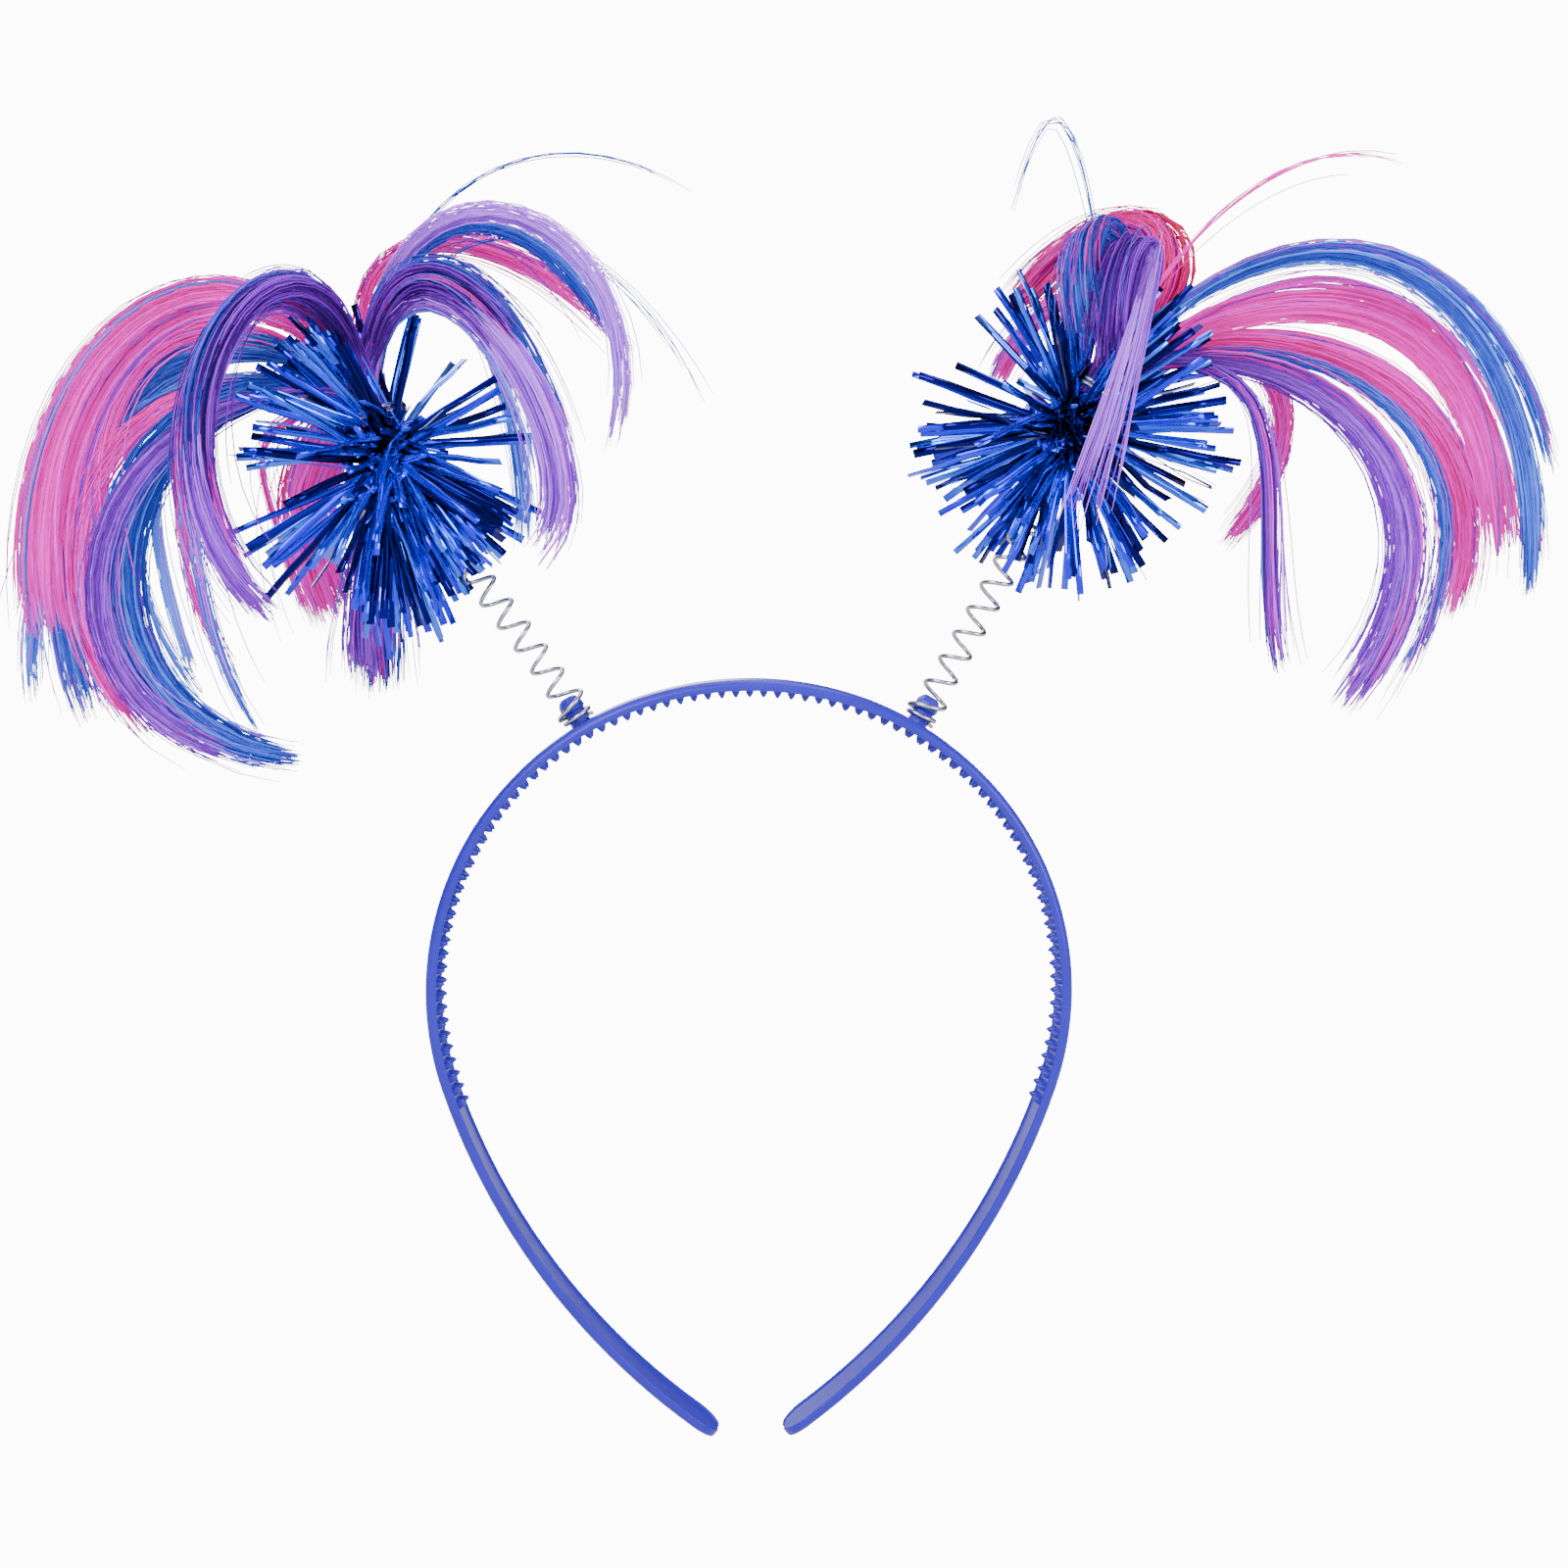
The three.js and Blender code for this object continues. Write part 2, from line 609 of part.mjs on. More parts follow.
function tinsel(side, frame) {
  const { core, top, plume } = frame;
  const below = top.clone().negate();
  const balls = lockBalls(side, frame);
  const strips = [];
  for (let i = 0; i < STRIP_COUNT; i++) {
    const even = evenDirection(i, STRIP_COUNT);
    const direction = keptOff(keptOff(even, below, STRIP_CLEAR.spring.end), plume, STRIP_CLEAR.plume.end);
    const start = keptOff(keptOff(direction, below, STRIP_CLEAR.spring.core), plume, STRIP_CLEAR.plume.core);
    const root = core.clone().addScaledVector(start, CORE_RADIUS * STRIP_ROOT);
    const length = BURST_RADIUS * (1 - STRIP_UNEVEN + STRIP_UNEVEN * Math.cos(i * GOLDEN_ANGLE));
    const tip = core.clone().addScaledVector(direction, length);
    const reach = clearReach(root, tip, balls);
    if (reach >= STRIP_SHORTEST) {
      strips.push(solidOf(strip(root, root.clone().lerp(tip, reach))));
    }
  }
  const ball = new THREE.SphereGeometry(CORE_RADIUS, 10, 6);
  let solid = solidOf(ball.applyMatrix4(standing(core, top)));
  for (const one of strips) {
    solid = solid.add(one);
  }
  return geometryOf(solid.subtract(socket(core, below)));
}

// The bore in the core's underside that the end of the spring turns into
function socket(core, below) {
  const sides = 12;
  const radius = cornerRadius(COIL_RADIUS + WIRE_RADIUS + FIT_GAP, sides);
  const bore = new THREE.CylinderGeometry(radius, radius, SOCKET_DEPTH * 2, sides);
  const mouth = core.clone().addScaledVector(below, CORE_RADIUS);
  return solidOf(bore.applyMatrix4(standing(mouth, below)));
}

const PLASTIC = new THREE.MeshStandardMaterial({ color: 0x3650c0, roughness: 0.32, metalness: 0 });
const STEEL = new THREE.MeshStandardMaterial({ color: 0xc4c6c8, roughness: 0.22, metalness: 1 });
const FOIL = new THREE.MeshStandardMaterial({ color: 0x1c46d8, roughness: 0.18, metalness: 1 });

function addMesh(group, name, geometry, material) {
  const mesh = new THREE.Mesh(geometry, material);
  mesh.name = name;
  group.add(mesh);
}

function bopper(row) {
  const frame = bopperFrame(row);
  const group = new THREE.Group();
  addMesh(group, `spring_${row.side}`, spring(frame), STEEL);
  addMesh(group, `tinsel_${row.side}`, tinsel(row.side, frame), FOIL);
  addMesh(group, `hair_tie_${row.side}`, hairTie(frame), STEEL);
  for (const hank of HANKS) {
    const hair = new THREE.MeshStandardMaterial({ color: hank.color, roughness: 0.5, metalness: 0 });
    const name = `${hank.name}_hair_${row.side}`;
    addMesh(group, name, geometryOf(hankSolid(hank, row.side, frame)), hair);
  }
  return group;
}

const group = new THREE.Group();
addMesh(group, "headband", headband(), PLASTIC);
for (const row of BOPPERS) {
  group.add(bopper(row));
}

export default group;
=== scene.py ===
# %% [markdown]
# # A head bopper, dressed
#
# The part is a toothed plastic hairband with two coil springs. Each spring carries a burst of
# metallic tinsel, and a plume of straight fibre in three colours grows out of the burst.
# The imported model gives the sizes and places. This notebook builds the fine surface over it, one
# kind of piece at a time: moulded plastic, drawn wire, foil strips and thousands of fibres.

# %% Load the frame
import math

import bpy
import numpy as np
from mathutils import Matrix, Vector


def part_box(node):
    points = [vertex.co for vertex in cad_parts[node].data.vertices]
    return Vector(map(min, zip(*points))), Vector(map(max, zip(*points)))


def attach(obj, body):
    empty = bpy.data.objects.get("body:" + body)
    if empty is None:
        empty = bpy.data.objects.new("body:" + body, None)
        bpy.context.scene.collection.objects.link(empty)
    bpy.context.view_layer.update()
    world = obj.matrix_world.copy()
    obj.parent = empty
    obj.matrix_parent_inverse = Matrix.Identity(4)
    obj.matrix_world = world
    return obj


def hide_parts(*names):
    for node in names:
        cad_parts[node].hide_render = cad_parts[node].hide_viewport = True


MM = 0.001

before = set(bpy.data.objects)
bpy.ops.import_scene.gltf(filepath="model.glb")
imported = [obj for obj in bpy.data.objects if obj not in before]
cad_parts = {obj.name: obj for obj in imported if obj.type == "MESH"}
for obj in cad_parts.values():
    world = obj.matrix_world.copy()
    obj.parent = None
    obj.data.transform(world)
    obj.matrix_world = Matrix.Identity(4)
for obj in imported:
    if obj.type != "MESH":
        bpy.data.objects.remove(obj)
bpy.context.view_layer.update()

# %% [markdown]
# ## The camera
#
# The photograph looks at the band from straight in front, a little to the left and slightly from
# above. A camera in Blender looks down its own -Z, so a turn of 90 degrees about X makes it level,
# and a little less makes it look down. The lens follows from how strongly near plumes grow.

# %% Set the camera
CAMERA_PLACE = (-5.8 * MM, -417.5 * MM, 25.1 * MM)
CAMERA_PITCH = -6.02  # degrees, below the horizon
CAMERA_YAW = 1.74  # degrees, towards +X
CAMERA_LENS = 48.04  # millimetres on a 36 mm sensor

bpy.ops.object.camera_add(
    location=CAMERA_PLACE,
    rotation=(math.radians(90 + CAMERA_PITCH), 0, math.radians(-CAMERA_YAW)),
)
camera = bpy.context.object
camera.name = "camera"
camera.data.lens = CAMERA_LENS
camera.data.clip_start = 0.01
bpy.context.scene.camera = camera
print("camera at", [round(place / MM) for place in camera.location], "mm")

# %% [markdown]
# ## Shader maths as Python
#
# A material is a graph of nodes, and drawing it node by node hides what it says. A small class
# wraps an output socket and turns +, - and * into Math nodes, so that a pattern reads like a
# formula. A second class makes the nodes of one graph, and a third is a material.

# %% Wrap the output of a node
class Value:
    """An output socket of a shader node, for use in expressions."""

    def __init__(self, graph, socket):
        self.graph = graph
        self.socket = socket

    def maths(self, operation, first, second):
        return self.graph.node("ShaderNodeMath", {"operation": operation}, {0: first, 1: second})

    def __add__(self, other):
        return self.maths("ADD", self, other)

    def __sub__(self, other):
        return self.maths("SUBTRACT", self, other)

    def __rsub__(self, other):
        return self.maths("SUBTRACT", other, self)

    def __mul__(self, other):
        return self.maths("MULTIPLY", self, other)

    __radd__ = __add__
    __rmul__ = __mul__

    def rising(self, low, high):
        """From 0 at low to 1 at high, eased at both ends."""
        inputs = {"Value": self, "From Min": low, "From Max": high}
        return self.graph.node("ShaderNodeMapRange", {"interpolation_type": "SMOOTHSTEP"}, inputs)


print("values take +, - and *")

# %% Wrap a graph and a material
class Graph:
    """The nodes of a material or of the world."""

    def __init__(self, tree):
        self.tree = tree
        tree.nodes.clear()

    def feed(self, socket, value):
        if isinstance(value, Value):
            self.tree.links.new(value.socket, socket)
        else:
            socket.default_value = value

    def node(self, kind, settings=None, inputs=None, output=0):
        node = self.tree.nodes.new(kind)
        for name, setting in (settings or {}).items():
            setattr(node, name, setting)
        for key, value in (inputs or {}).items():
            self.feed(node.inputs[key], value)
        return Value(self, node.outputs[output]) if len(node.outputs) else None

    def blend(self, factor, first, second):
        """A colour between two, by a factor from 0 to 1."""
        settings = {"data_type": "RGBA", "clamp_factor": True}
        inputs = {"Factor": factor, 6: first, 7: second}
        return self.node("ShaderNodeMix", settings, inputs, output=2)


class Finish(Graph):
    """One material: a Principled shader and the nodes that feed it."""

    def __init__(self, name, **fixed):
        self.material = bpy.data.materials.new(name)
        self.material.use_nodes = True
        super().__init__(self.material.node_tree)
        self.shader = self.tree.nodes.new("ShaderNodeBsdfPrincipled")
        output = self.tree.nodes.new("ShaderNodeOutputMaterial")
        self.tree.links.new(self.shader.outputs[0], output.inputs["Surface"])
        for socket, value in fixed.items():
            self.shader.inputs[socket.replace("_", " ")].default_value = value

    def set(self, socket, value):
        self.feed(self.shader.inputs[socket], value)

    def attribute(self, name):
        return self.node("ShaderNodeAttribute", {"attribute_name": name}, output="Fac")

    def noise(self, scale, detail=2.0, roughness=0.5):
        place = self.node("ShaderNodeTexCoord", output="Object")
        inputs = {"Vector": place, "Scale": scale, "Detail": detail, "Roughness": roughness}
        return self.node("ShaderNodeTexNoise", inputs=inputs)

    def bump(self, height, distance, strength=1.0):
        inputs = {"Height": height, "Distance": distance, "Strength": strength}
        self.set("Normal", self.node("ShaderNodeBump", inputs=inputs))


print("graph and material helpers ready")

# %% [markdown]
# ## Light and floor
#
# The product is photographed on pure white, with soft light from above and from the left. Foil and
# wire show what they mirror, so they need bright panels with dark room between them; the foil also
# has a painted reflection in its colour. The world is plain white to the camera. To everything else
# it is a dim room with a bright wall behind the photographer, a pale ceiling and a pale ground. The
# floor lies well below, as the band hangs on a head that isn't there.

# %% Make the lights
def softbox(name, place, aim, size, power):
    """A square area light at a place, turned towards a point."""
    bpy.ops.object.light_add(type="AREA", location=place)
    light = bpy.context.object
    light.name = name
    light.data.size = size
    light.data.energy = power
    direction = Vector(aim) - Vector(place)
    light.rotation_euler = direction.to_track_quat("-Z", "Y").to_euler()
    return light


BURSTS_MIDDLE = (0, 0, 0.05)
softbox("key_light", (-0.55, -0.75, 0.75), BURSTS_MIDDLE, 0.7, 22)
softbox("fill_light", (0.85, -0.6, 0.25), BURSTS_MIDDLE, 0.5, 11)
softbox("top_light", (0.1, 0.15, 0.95), BURSTS_MIDDLE, 0.6, 5)
softbox("back_light", (-0.3, 0.9, 0.4), BURSTS_MIDDLE, 0.7, 8)
print("four softboxes")

# %% Make the world and the floor
WHITE = (1.0, 1.0, 1.0, 1)
SEEN_STRENGTH = 12.0  # of the world and the floor, as the camera sees them
ROOM = 0.1
FRONT_WALL = 2.2
CEILING = 0.5
GROUND = 0.3
FLOOR_DROP = 0.9
FLOOR_SIZE = 60
FLOOR_LIGHT = (0.12, 0.12, 0.12, 1)  # what the floor gives to the object


def make_world():
    world = bpy.data.worlds.new("studio")
    world.use_nodes = True
    bpy.context.scene.world = world
    graph = Graph(world.node_tree)
    toward = graph.node("ShaderNodeTexCoord", output="Generated")
    height = graph.node("ShaderNodeSeparateXYZ", inputs={"Vector": toward}, output="Z")
    back = graph.node("ShaderNodeSeparateXYZ", inputs={"Vector": toward}, output="Y")
    room = ROOM + height.rising(0.5, 0.8) * CEILING + (0 - height).rising(0.3, 0.8) * GROUND
    room = room + (0 - back).rising(0.7, 0.92) * FRONT_WALL
    seen = graph.node("ShaderNodeLightPath", output="Is Camera Ray")
    strength = room * (1 - seen) + seen * SEEN_STRENGTH
    inputs = {"Color": WHITE, "Strength": strength}
    background = graph.node("ShaderNodeBackground", inputs=inputs)
    graph.node("ShaderNodeOutputWorld", inputs={"Surface": background})


make_world()

bpy.ops.mesh.primitive_plane_add(size=FLOOR_SIZE, location=(0, 0, -FLOOR_DROP))
floor = bpy.context.object
floor.name = "floor"
floor_finish = Finish("white_floor", Roughness=0.9, Emission_Strength=SEEN_STRENGTH)
seen_floor = floor_finish.node("ShaderNodeLightPath", output="Is Camera Ray")
floor_finish.set("Base Color", (0.0, 0.0, 0.0, 1))
floor_finish.set("Emission Color", floor_finish.blend(seen_floor, FLOOR_LIGHT, WHITE))
floor.data.materials.append(floor_finish.material)
print("floor", round(FLOOR_DROP / MM), "mm below the crown")

# %% [markdown]
# ## Small helpers for meshes
#
# Every operator acts on all that is selected, so a step first clears the selection. A finished
# piece has its place in its mesh and its object at the origin.

# %% Mesh helpers
def start_clean():
    if bpy.context.mode != "OBJECT":
        bpy.ops.object.mode_set(mode="OBJECT")
    bpy.ops.object.select_all(action="DESELECT")


def activate(piece):
    start_clean()
    piece.select_set(True)
    bpy.context.view_layer.objects.active = piece


def join(name, pieces):
    """One object out of several, with its place in its mesh."""
    start_clean()
    for piece in pieces:
        piece.select_set(True)
    bpy.context.view_layer.objects.active = pieces[0]
    if len(pieces) > 1:
        bpy.ops.object.join()
    joined = bpy.context.object
    joined.name = name
    bpy.ops.object.transform_apply(location=True, rotation=True, scale=True)
    return joined


def finished(piece, finish, slot, *nodes):
    """Gives a piece its material and lets it stand for CAD nodes. The slot is not used."""
    piece.data.materials.clear()
    piece.data.materials.append(finish.material)
    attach(piece, "root")
    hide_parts(*nodes)
    triangles = sum(len(face.vertices) - 2 for face in piece.data.polygons)
    print(piece.name, "has", triangles, "triangles")


def copies(piece, matrices):
    """Copies of a piece, each with its own mesh, one at each matrix. The piece itself goes."""
    made = []
    for matrix in matrices:
        copy = piece.copy()
        copy.data = piece.data.copy()
        copy.data.transform(matrix)
        bpy.context.collection.objects.link(copy)
        made.append(copy)
    bpy.data.objects.remove(piece)
    return made


print("mesh helpers ready")

# %% [markdown]
# ## The line of the band
#
# From the crown the band follows three arcs: a wide one over the crown, a tighter one round the
# side of the head, and a nearly straight one down the arm. Every piece on the band is placed by the
# angle of the band's normal, so the same small formula serves the strip, the teeth and the pegs.

# %% Work out the band's arcs
_, band_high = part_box("headband")
BAND_HALF_WIDTH = band_high.x
BAND_HALF_DEPTH = band_high.y
BAND_WALL = band_high.z
CROWN_RADIUS = 69 * MM
CROWN_SWEEP = 18
SIDE_SWEEP = 90
ARM_RADIUS = 145 * MM
ARM_SWEEP = 34.8
SIDE_RADIUS = (BAND_HALF_WIDTH - CROWN_RADIUS * math.sin(math.radians(CROWN_SWEEP))) / (
    1 - math.sin(math.radians(CROWN_SWEEP))
)


def leaning(degrees):
    """A direction in the picture plane, leaning from +Z towards +X."""
    return Vector((math.sin(math.radians(degrees)), 0, math.cos(math.radians(degrees))))


def band_arcs():
    """Centre, radius of the outer face, first and last angle of the three arcs."""
    centre = Vector((0, 0, BAND_WALL - CROWN_RADIUS))
    arcs = [(centre, CROWN_RADIUS, 0, CROWN_SWEEP)]
    for radius, sweep in ((SIDE_RADIUS, SIDE_SWEEP), (ARM_RADIUS, ARM_SWEEP)):
        last_centre, last_radius, _, start = arcs[-1]
        centre = last_centre + leaning(start) * (last_radius - radius)
        arcs.append((centre, radius, start, start + sweep))
    return arcs


ARCS = band_arcs()


def band_point(angle, height=0.0, depth=0.0):
    """A point of the right arm, at a height above the inner face."""
    centre, radius, _, _ = next((arc for arc in ARCS if angle <= arc[3]), ARCS[-1])
    point = centre + leaning(angle) * (radius - BAND_WALL + height)
    point.y = depth
    return point


def angle_at_length(length):
    """The normal's angle at a length along the inner face from the crown."""
    for _, radius, start, end in ARCS:
        inner = radius - BAND_WALL
        arc_length = inner * math.radians(end - start)
        if length <= arc_length:
            return start + math.degrees(length / inner)
        length -= arc_length
    return ARCS[-1][3]


BAND_LENGTH = sum((radius - BAND_WALL) * math.radians(end - start) for _, radius, start, end in ARCS)
print("inner face of one arm:", round(BAND_LENGTH / MM, 1), "mm")

# %% [markdown]
# ## The strip
#
# A moulded strip has one section all along, so it is modelled as by hand: a plane is turned into
# the section, with round outer corners, a raised rim and a shallow trough, and then spun round the
# centre of each arc in turn. The tip is extruded in short steps that get narrower like a circle.
# One arm is enough, because the Mirror modifier makes the other.

# %% Shape the section
OUTER_ROUND = 1.15 * MM
OUTER_PROFILE = 0.4  # flatter than a circle, so that a crease shows along the front
OUTER_SEGMENTS = 5
INNER_ROUND = 0.3 * MM
INNER_SEGMENTS = 3
INNER_CUTS = 9  # across the inner face, for the trough
RIM_WIDTH = 0.9 * MM
TROUGH_DEPTH = 0.4 * MM
NEAR = 1e-6  # metres between places that count as the same


def choose_vertices(piece, test):
    """Selects, in edit mode, the vertices whose place passes a test."""
    bpy.ops.mesh.select_all(action="DESELECT")
    bpy.ops.object.mode_set(mode="OBJECT")
    for vertex in piece.data.vertices:
        vertex.select = test(vertex.co)
    bpy.ops.object.mode_set(mode="EDIT")


def section_loop():
    """The band's section at the crown, as a loop of edges in the plane x = 0."""
    start_clean()
    bpy.ops.mesh.primitive_plane_add(size=1)
    strip = bpy.context.object
    strip.data.transform(
        Matrix.Translation((0, 0, BAND_WALL / 2))
        @ Matrix.Diagonal((1, 2 * BAND_HALF_DEPTH, BAND_WALL, 1))
        @ Matrix.Rotation(math.pi / 2, 4, "Y")
    )
    bpy.ops.object.mode_set(mode="EDIT")
    bpy.ops.mesh.select_mode(type="VERT")
    choose_vertices(strip, lambda place: place.z > BAND_WALL / 2)
    bpy.ops.mesh.bevel(
        offset=OUTER_ROUND, segments=OUTER_SEGMENTS, profile=OUTER_PROFILE, affect="VERTICES"
    )
    choose_vertices(strip, lambda place: place.z < NEAR)
    bpy.ops.mesh.bevel(offset=INNER_ROUND, segments=INNER_SEGMENTS, affect="VERTICES")
    choose_vertices(strip, lambda place: place.z < NEAR)
    bpy.ops.mesh.subdivide(number_cuts=INNER_CUTS)
    trough_edge = BAND_HALF_DEPTH - RIM_WIDTH
    choose_vertices(strip, lambda place: place.z < NEAR and abs(place.y) < trough_edge)
    bpy.ops.transform.translate(value=(0, 0, TROUGH_DEPTH))
    bpy.ops.mesh.select_all(action="SELECT")
    bpy.ops.mesh.delete(type="ONLY_FACE")
    bpy.ops.mesh.select_all(action="SELECT")
    return strip


print("section", round(2 * BAND_HALF_DEPTH / MM, 1), "by", round(BAND_WALL / MM, 1), "mm")

# %% Spin the strip
SPIN_STEP = 1.6  # degrees of one step of a spin
TIP_STEPS = 10
TIP_FLAT = 0.16  # narrowest share of the depth, at the end of the tip
TIP_THIN = 0.82  # share of its size that the section keeps at each of the last two steps
CREASE_ANGLE = 14  # degrees
MIRROR_REACH = 1e-5  # metres within which the two arms merge


def close_mesh(angle):
    """Merges the active piece's doubled vertices, turns its faces outwards and shades it smooth."""
    bpy.ops.object.mode_set(mode="EDIT")
    bpy.ops.mesh.select_all(action="SELECT")
    bpy.ops.mesh.remove_doubles(threshold=NEAR)
    bpy.ops.mesh.normals_make_consistent(inside=False)
    bpy.ops.object.mode_set(mode="OBJECT")
    bpy.ops.object.shade_smooth_by_angle(angle=math.radians(angle))


def model_strip():
    strip = section_loop()
    for centre, _, start, end in ARCS:
        steps = math.ceil((end - start) / SPIN_STEP)
        turn = -math.radians(end - start)
        bpy.ops.mesh.spin(steps=steps, angle=turn, center=centre, axis=(0, 1, 0))
    run = leaning(ARCS[-1][3] + 90)
    last_turn = math.acos(TIP_FLAT)
    for step in range(TIP_STEPS):
        before = last_turn * step / TIP_STEPS
        after = last_turn * (step + 1) / TIP_STEPS
        advance = run * BAND_HALF_DEPTH * (math.sin(after) - math.sin(before))
        narrow = math.cos(after) / math.cos(before)
        thin = 1 if step < TIP_STEPS - 2 else TIP_THIN
        bpy.ops.mesh.extrude_region_move(TRANSFORM_OT_translate={"value": advance})
        bpy.ops.transform.resize(value=(thin, narrow, thin))
    bpy.ops.mesh.edge_face_add()
    bpy.ops.object.mode_set(mode="OBJECT")
    mirror = strip.modifiers.new("other_arm", "MIRROR")
    mirror.use_axis = (True, False, False)
    mirror.merge_threshold = MIRROR_REACH
    bpy.ops.object.modifier_apply(modifier=mirror.name)
    close_mesh(CREASE_ANGLE)
    return strip


strip = model_strip()

# %% [markdown]
# ## Teeth and pegs
#
# The teeth grip the hair. Each is a small cone with a round nose. Two rows of them stand in the
# trough and follow the inner face from side to side. The pegs are eight-sided studs, each with a
# neck for the spring to clip on and a head that keeps it there. One tooth and one peg are modelled
# and then copied.

# %% Turn studs and find their places
STUD_SIDES = 8


def standing(foot, direction):
    """A matrix that puts a shape modelled along +Z at a foot, pointing in a direction."""
    return Matrix.Translation(foot) @ direction.to_track_quat("Z", "Y").to_matrix().to_4x4()


def mirrored(matrix):
    """The same place on the other arm. The shape itself is symmetric, so it is turned, not flipped."""
    flip = Matrix.Diagonal((-1, 1, 1, 1))
    return flip @ matrix @ flip


def grow(profile):
    """Extrudes the selected top of a shape to each height, and scales it to each radius there."""
    for (height, radius), (last_height, last_radius) in zip(profile[1:], profile):
        step = (0, 0, height - last_height)
        share = radius / last_radius
        bpy.ops.mesh.extrude_region_move(TRANSFORM_OT_translate={"value": step})
        bpy.ops.transform.resize(value=(share, share, 1))


def turned_stud(profile):
    """A stud along +Z: a round outline, extruded up through heights and radii, closed at both ends."""
    start_clean()
    first_height, first_radius = profile[0]
    bpy.ops.mesh.primitive_circle_add(
        vertices=STUD_SIDES, radius=first_radius, fill_type="NGON", location=(0, 0, first_height)
    )
    stud = bpy.context.object
    bpy.ops.object.transform_apply(location=True)
    bpy.ops.object.mode_set(mode="EDIT")
    bpy.ops.mesh.select_all(action="SELECT")
    grow(profile)
    bpy.ops.mesh.select_all(action="SELECT")
    bpy.ops.mesh.normals_make_consistent(inside=False)
    bpy.ops.object.mode_set(mode="OBJECT")
    return stud


print("studs have", STUD_SIDES, "sides")

# %% Model the teeth
TOOTH_PITCH = 2.8 * MM
TOOTH_ROW_GAP = 4.4 * MM
TOOTH_HEIGHT = 1.4 * MM
TOOTH_ROOT = TROUGH_DEPTH + 0.2 * MM  # how far its foot reaches into the band
TOOTHED_LENGTH = 121 * MM
TOOTH_HALF_WIDTH = 0.86 * MM  # at the inner face
TOOTH_FOOT = 1.1  # share of the half width at its foot
TOOTH_SHAPE = [(0, 1), (0.45, 0.78), (0.75, 0.5), (0.93, 0.25), (1, 0.1)]  # height, half width
TOOTH_SMOOTHING = 60  # degrees


def model_teeth():
    profile = [(-TOOTH_ROOT, TOOTH_HALF_WIDTH * TOOTH_FOOT)]
    for rise, width in TOOTH_SHAPE:
        profile.append((TOOTH_HEIGHT * rise, TOOTH_HALF_WIDTH * width))
    tooth = turned_stud(profile)
    bpy.ops.object.shade_smooth_by_angle(angle=math.radians(TOOTH_SMOOTHING))
    matrices = []
    per_arm = math.floor(TOOTHED_LENGTH / TOOTH_PITCH)
    for place in range(-per_arm, per_arm + 1):
        angle = angle_at_length(abs(place) * TOOTH_PITCH)
        for row in (-0.5, 0.5):
            foot = band_point(angle, 0, row * TOOTH_ROW_GAP)
            matrix = standing(foot, -leaning(angle))
            matrices.append(mirrored(matrix) if place < 0 else matrix)
    return copies(tooth, matrices)


teeth = model_teeth()
print(len(teeth), "teeth")

# %% Model the pegs and join the band
PEG_ANGLE = 30.2  # degrees from the crown
PEG_NECK_RADIUS = 2.1 * MM
PEG_HEAD_RADIUS = 2.6 * MM
PEG_NECK_HEIGHT = 2.7 * MM
PEG_HEIGHT = 5.9 * MM
PEG_ROUND = 0.12 * MM


def model_pegs():
    profile = [
        (-BAND_WALL / 2, PEG_NECK_RADIUS),
        (PEG_NECK_HEIGHT, PEG_NECK_RADIUS),
        (PEG_NECK_HEIGHT + 0.5 * MM, PEG_HEAD_RADIUS),
        (PEG_HEIGHT - 1.3 * MM, PEG_HEAD_RADIUS * 0.93),
        (PEG_HEIGHT - 0.4 * MM, PEG_HEAD_RADIUS * 0.72),
        (PEG_HEIGHT, PEG_HEAD_RADIUS * 0.45),
    ]
    peg = turned_stud(profile)
    bevel = peg.modifiers.new("soft_edges", "BEVEL")
    bevel.width = PEG_ROUND
    bevel.segments = 2
    activate(peg)
    bpy.ops.object.modifier_apply(modifier=bevel.name)
    right = standing(band_point(PEG_ANGLE, BAND_WALL), leaning(PEG_ANGLE))
    return copies(peg, [right, mirrored(right)])


pegs = model_pegs()
band = join("band", [strip, *teeth, *pegs])
print(len(pegs), "pegs on the band")

# %% [markdown]
# ## Blue moulded plastic
#
# Injection-moulded polystyrene is glossy but never perfect: the colour flows a little, handling
# leaves faint rubs that make the gloss uneven, and the surface has a slight orange peel. Two
# noises do this: a wide one for colour and gloss, and a fine one for the bump.

# %% Finish the band
plastic = Finish("blue_moulded_plastic", Roughness=0.3, IOR=1.5, Specular_IOR_Level=0.25)
flow = plastic.noise(90, detail=3)
plastic.set("Base Color", plastic.blend(flow, (0.014, 0.006, 0.3, 1), (0.024, 0.012, 0.42, 1)))
plastic.set("Roughness", plastic.noise(420, detail=4) * 0.16 + 0.26)
plastic.bump(plastic.noise(300, detail=1), distance=0.02 * MM, strength=0.15)
finished(band, plastic, "band_plastic", "headband")

# %% [markdown]
# ## The places of the boppers
#
# Each bopper is set by a few values: how far and which way its spring leans, and how its plume
# leans. The spring's axis is a smooth curve that leaves the peg straight and ends in the burst.

# %% Draw curves that know their directions
GUIDE_SAMPLES = 200


def unit(vectors):
    return vectors / np.linalg.norm(vectors, axis=-1, keepdims=True)


def cubic(points, share):
    """Points of a cubic curve at an array of shares of its length."""
    first, second, third, fourth = points
    share = np.asarray(share)[..., None]
    rest = 1 - share
    near = rest**3 * first + 3 * rest**2 * share * second
    return near + 3 * rest * share**2 * third + share**3 * fourth


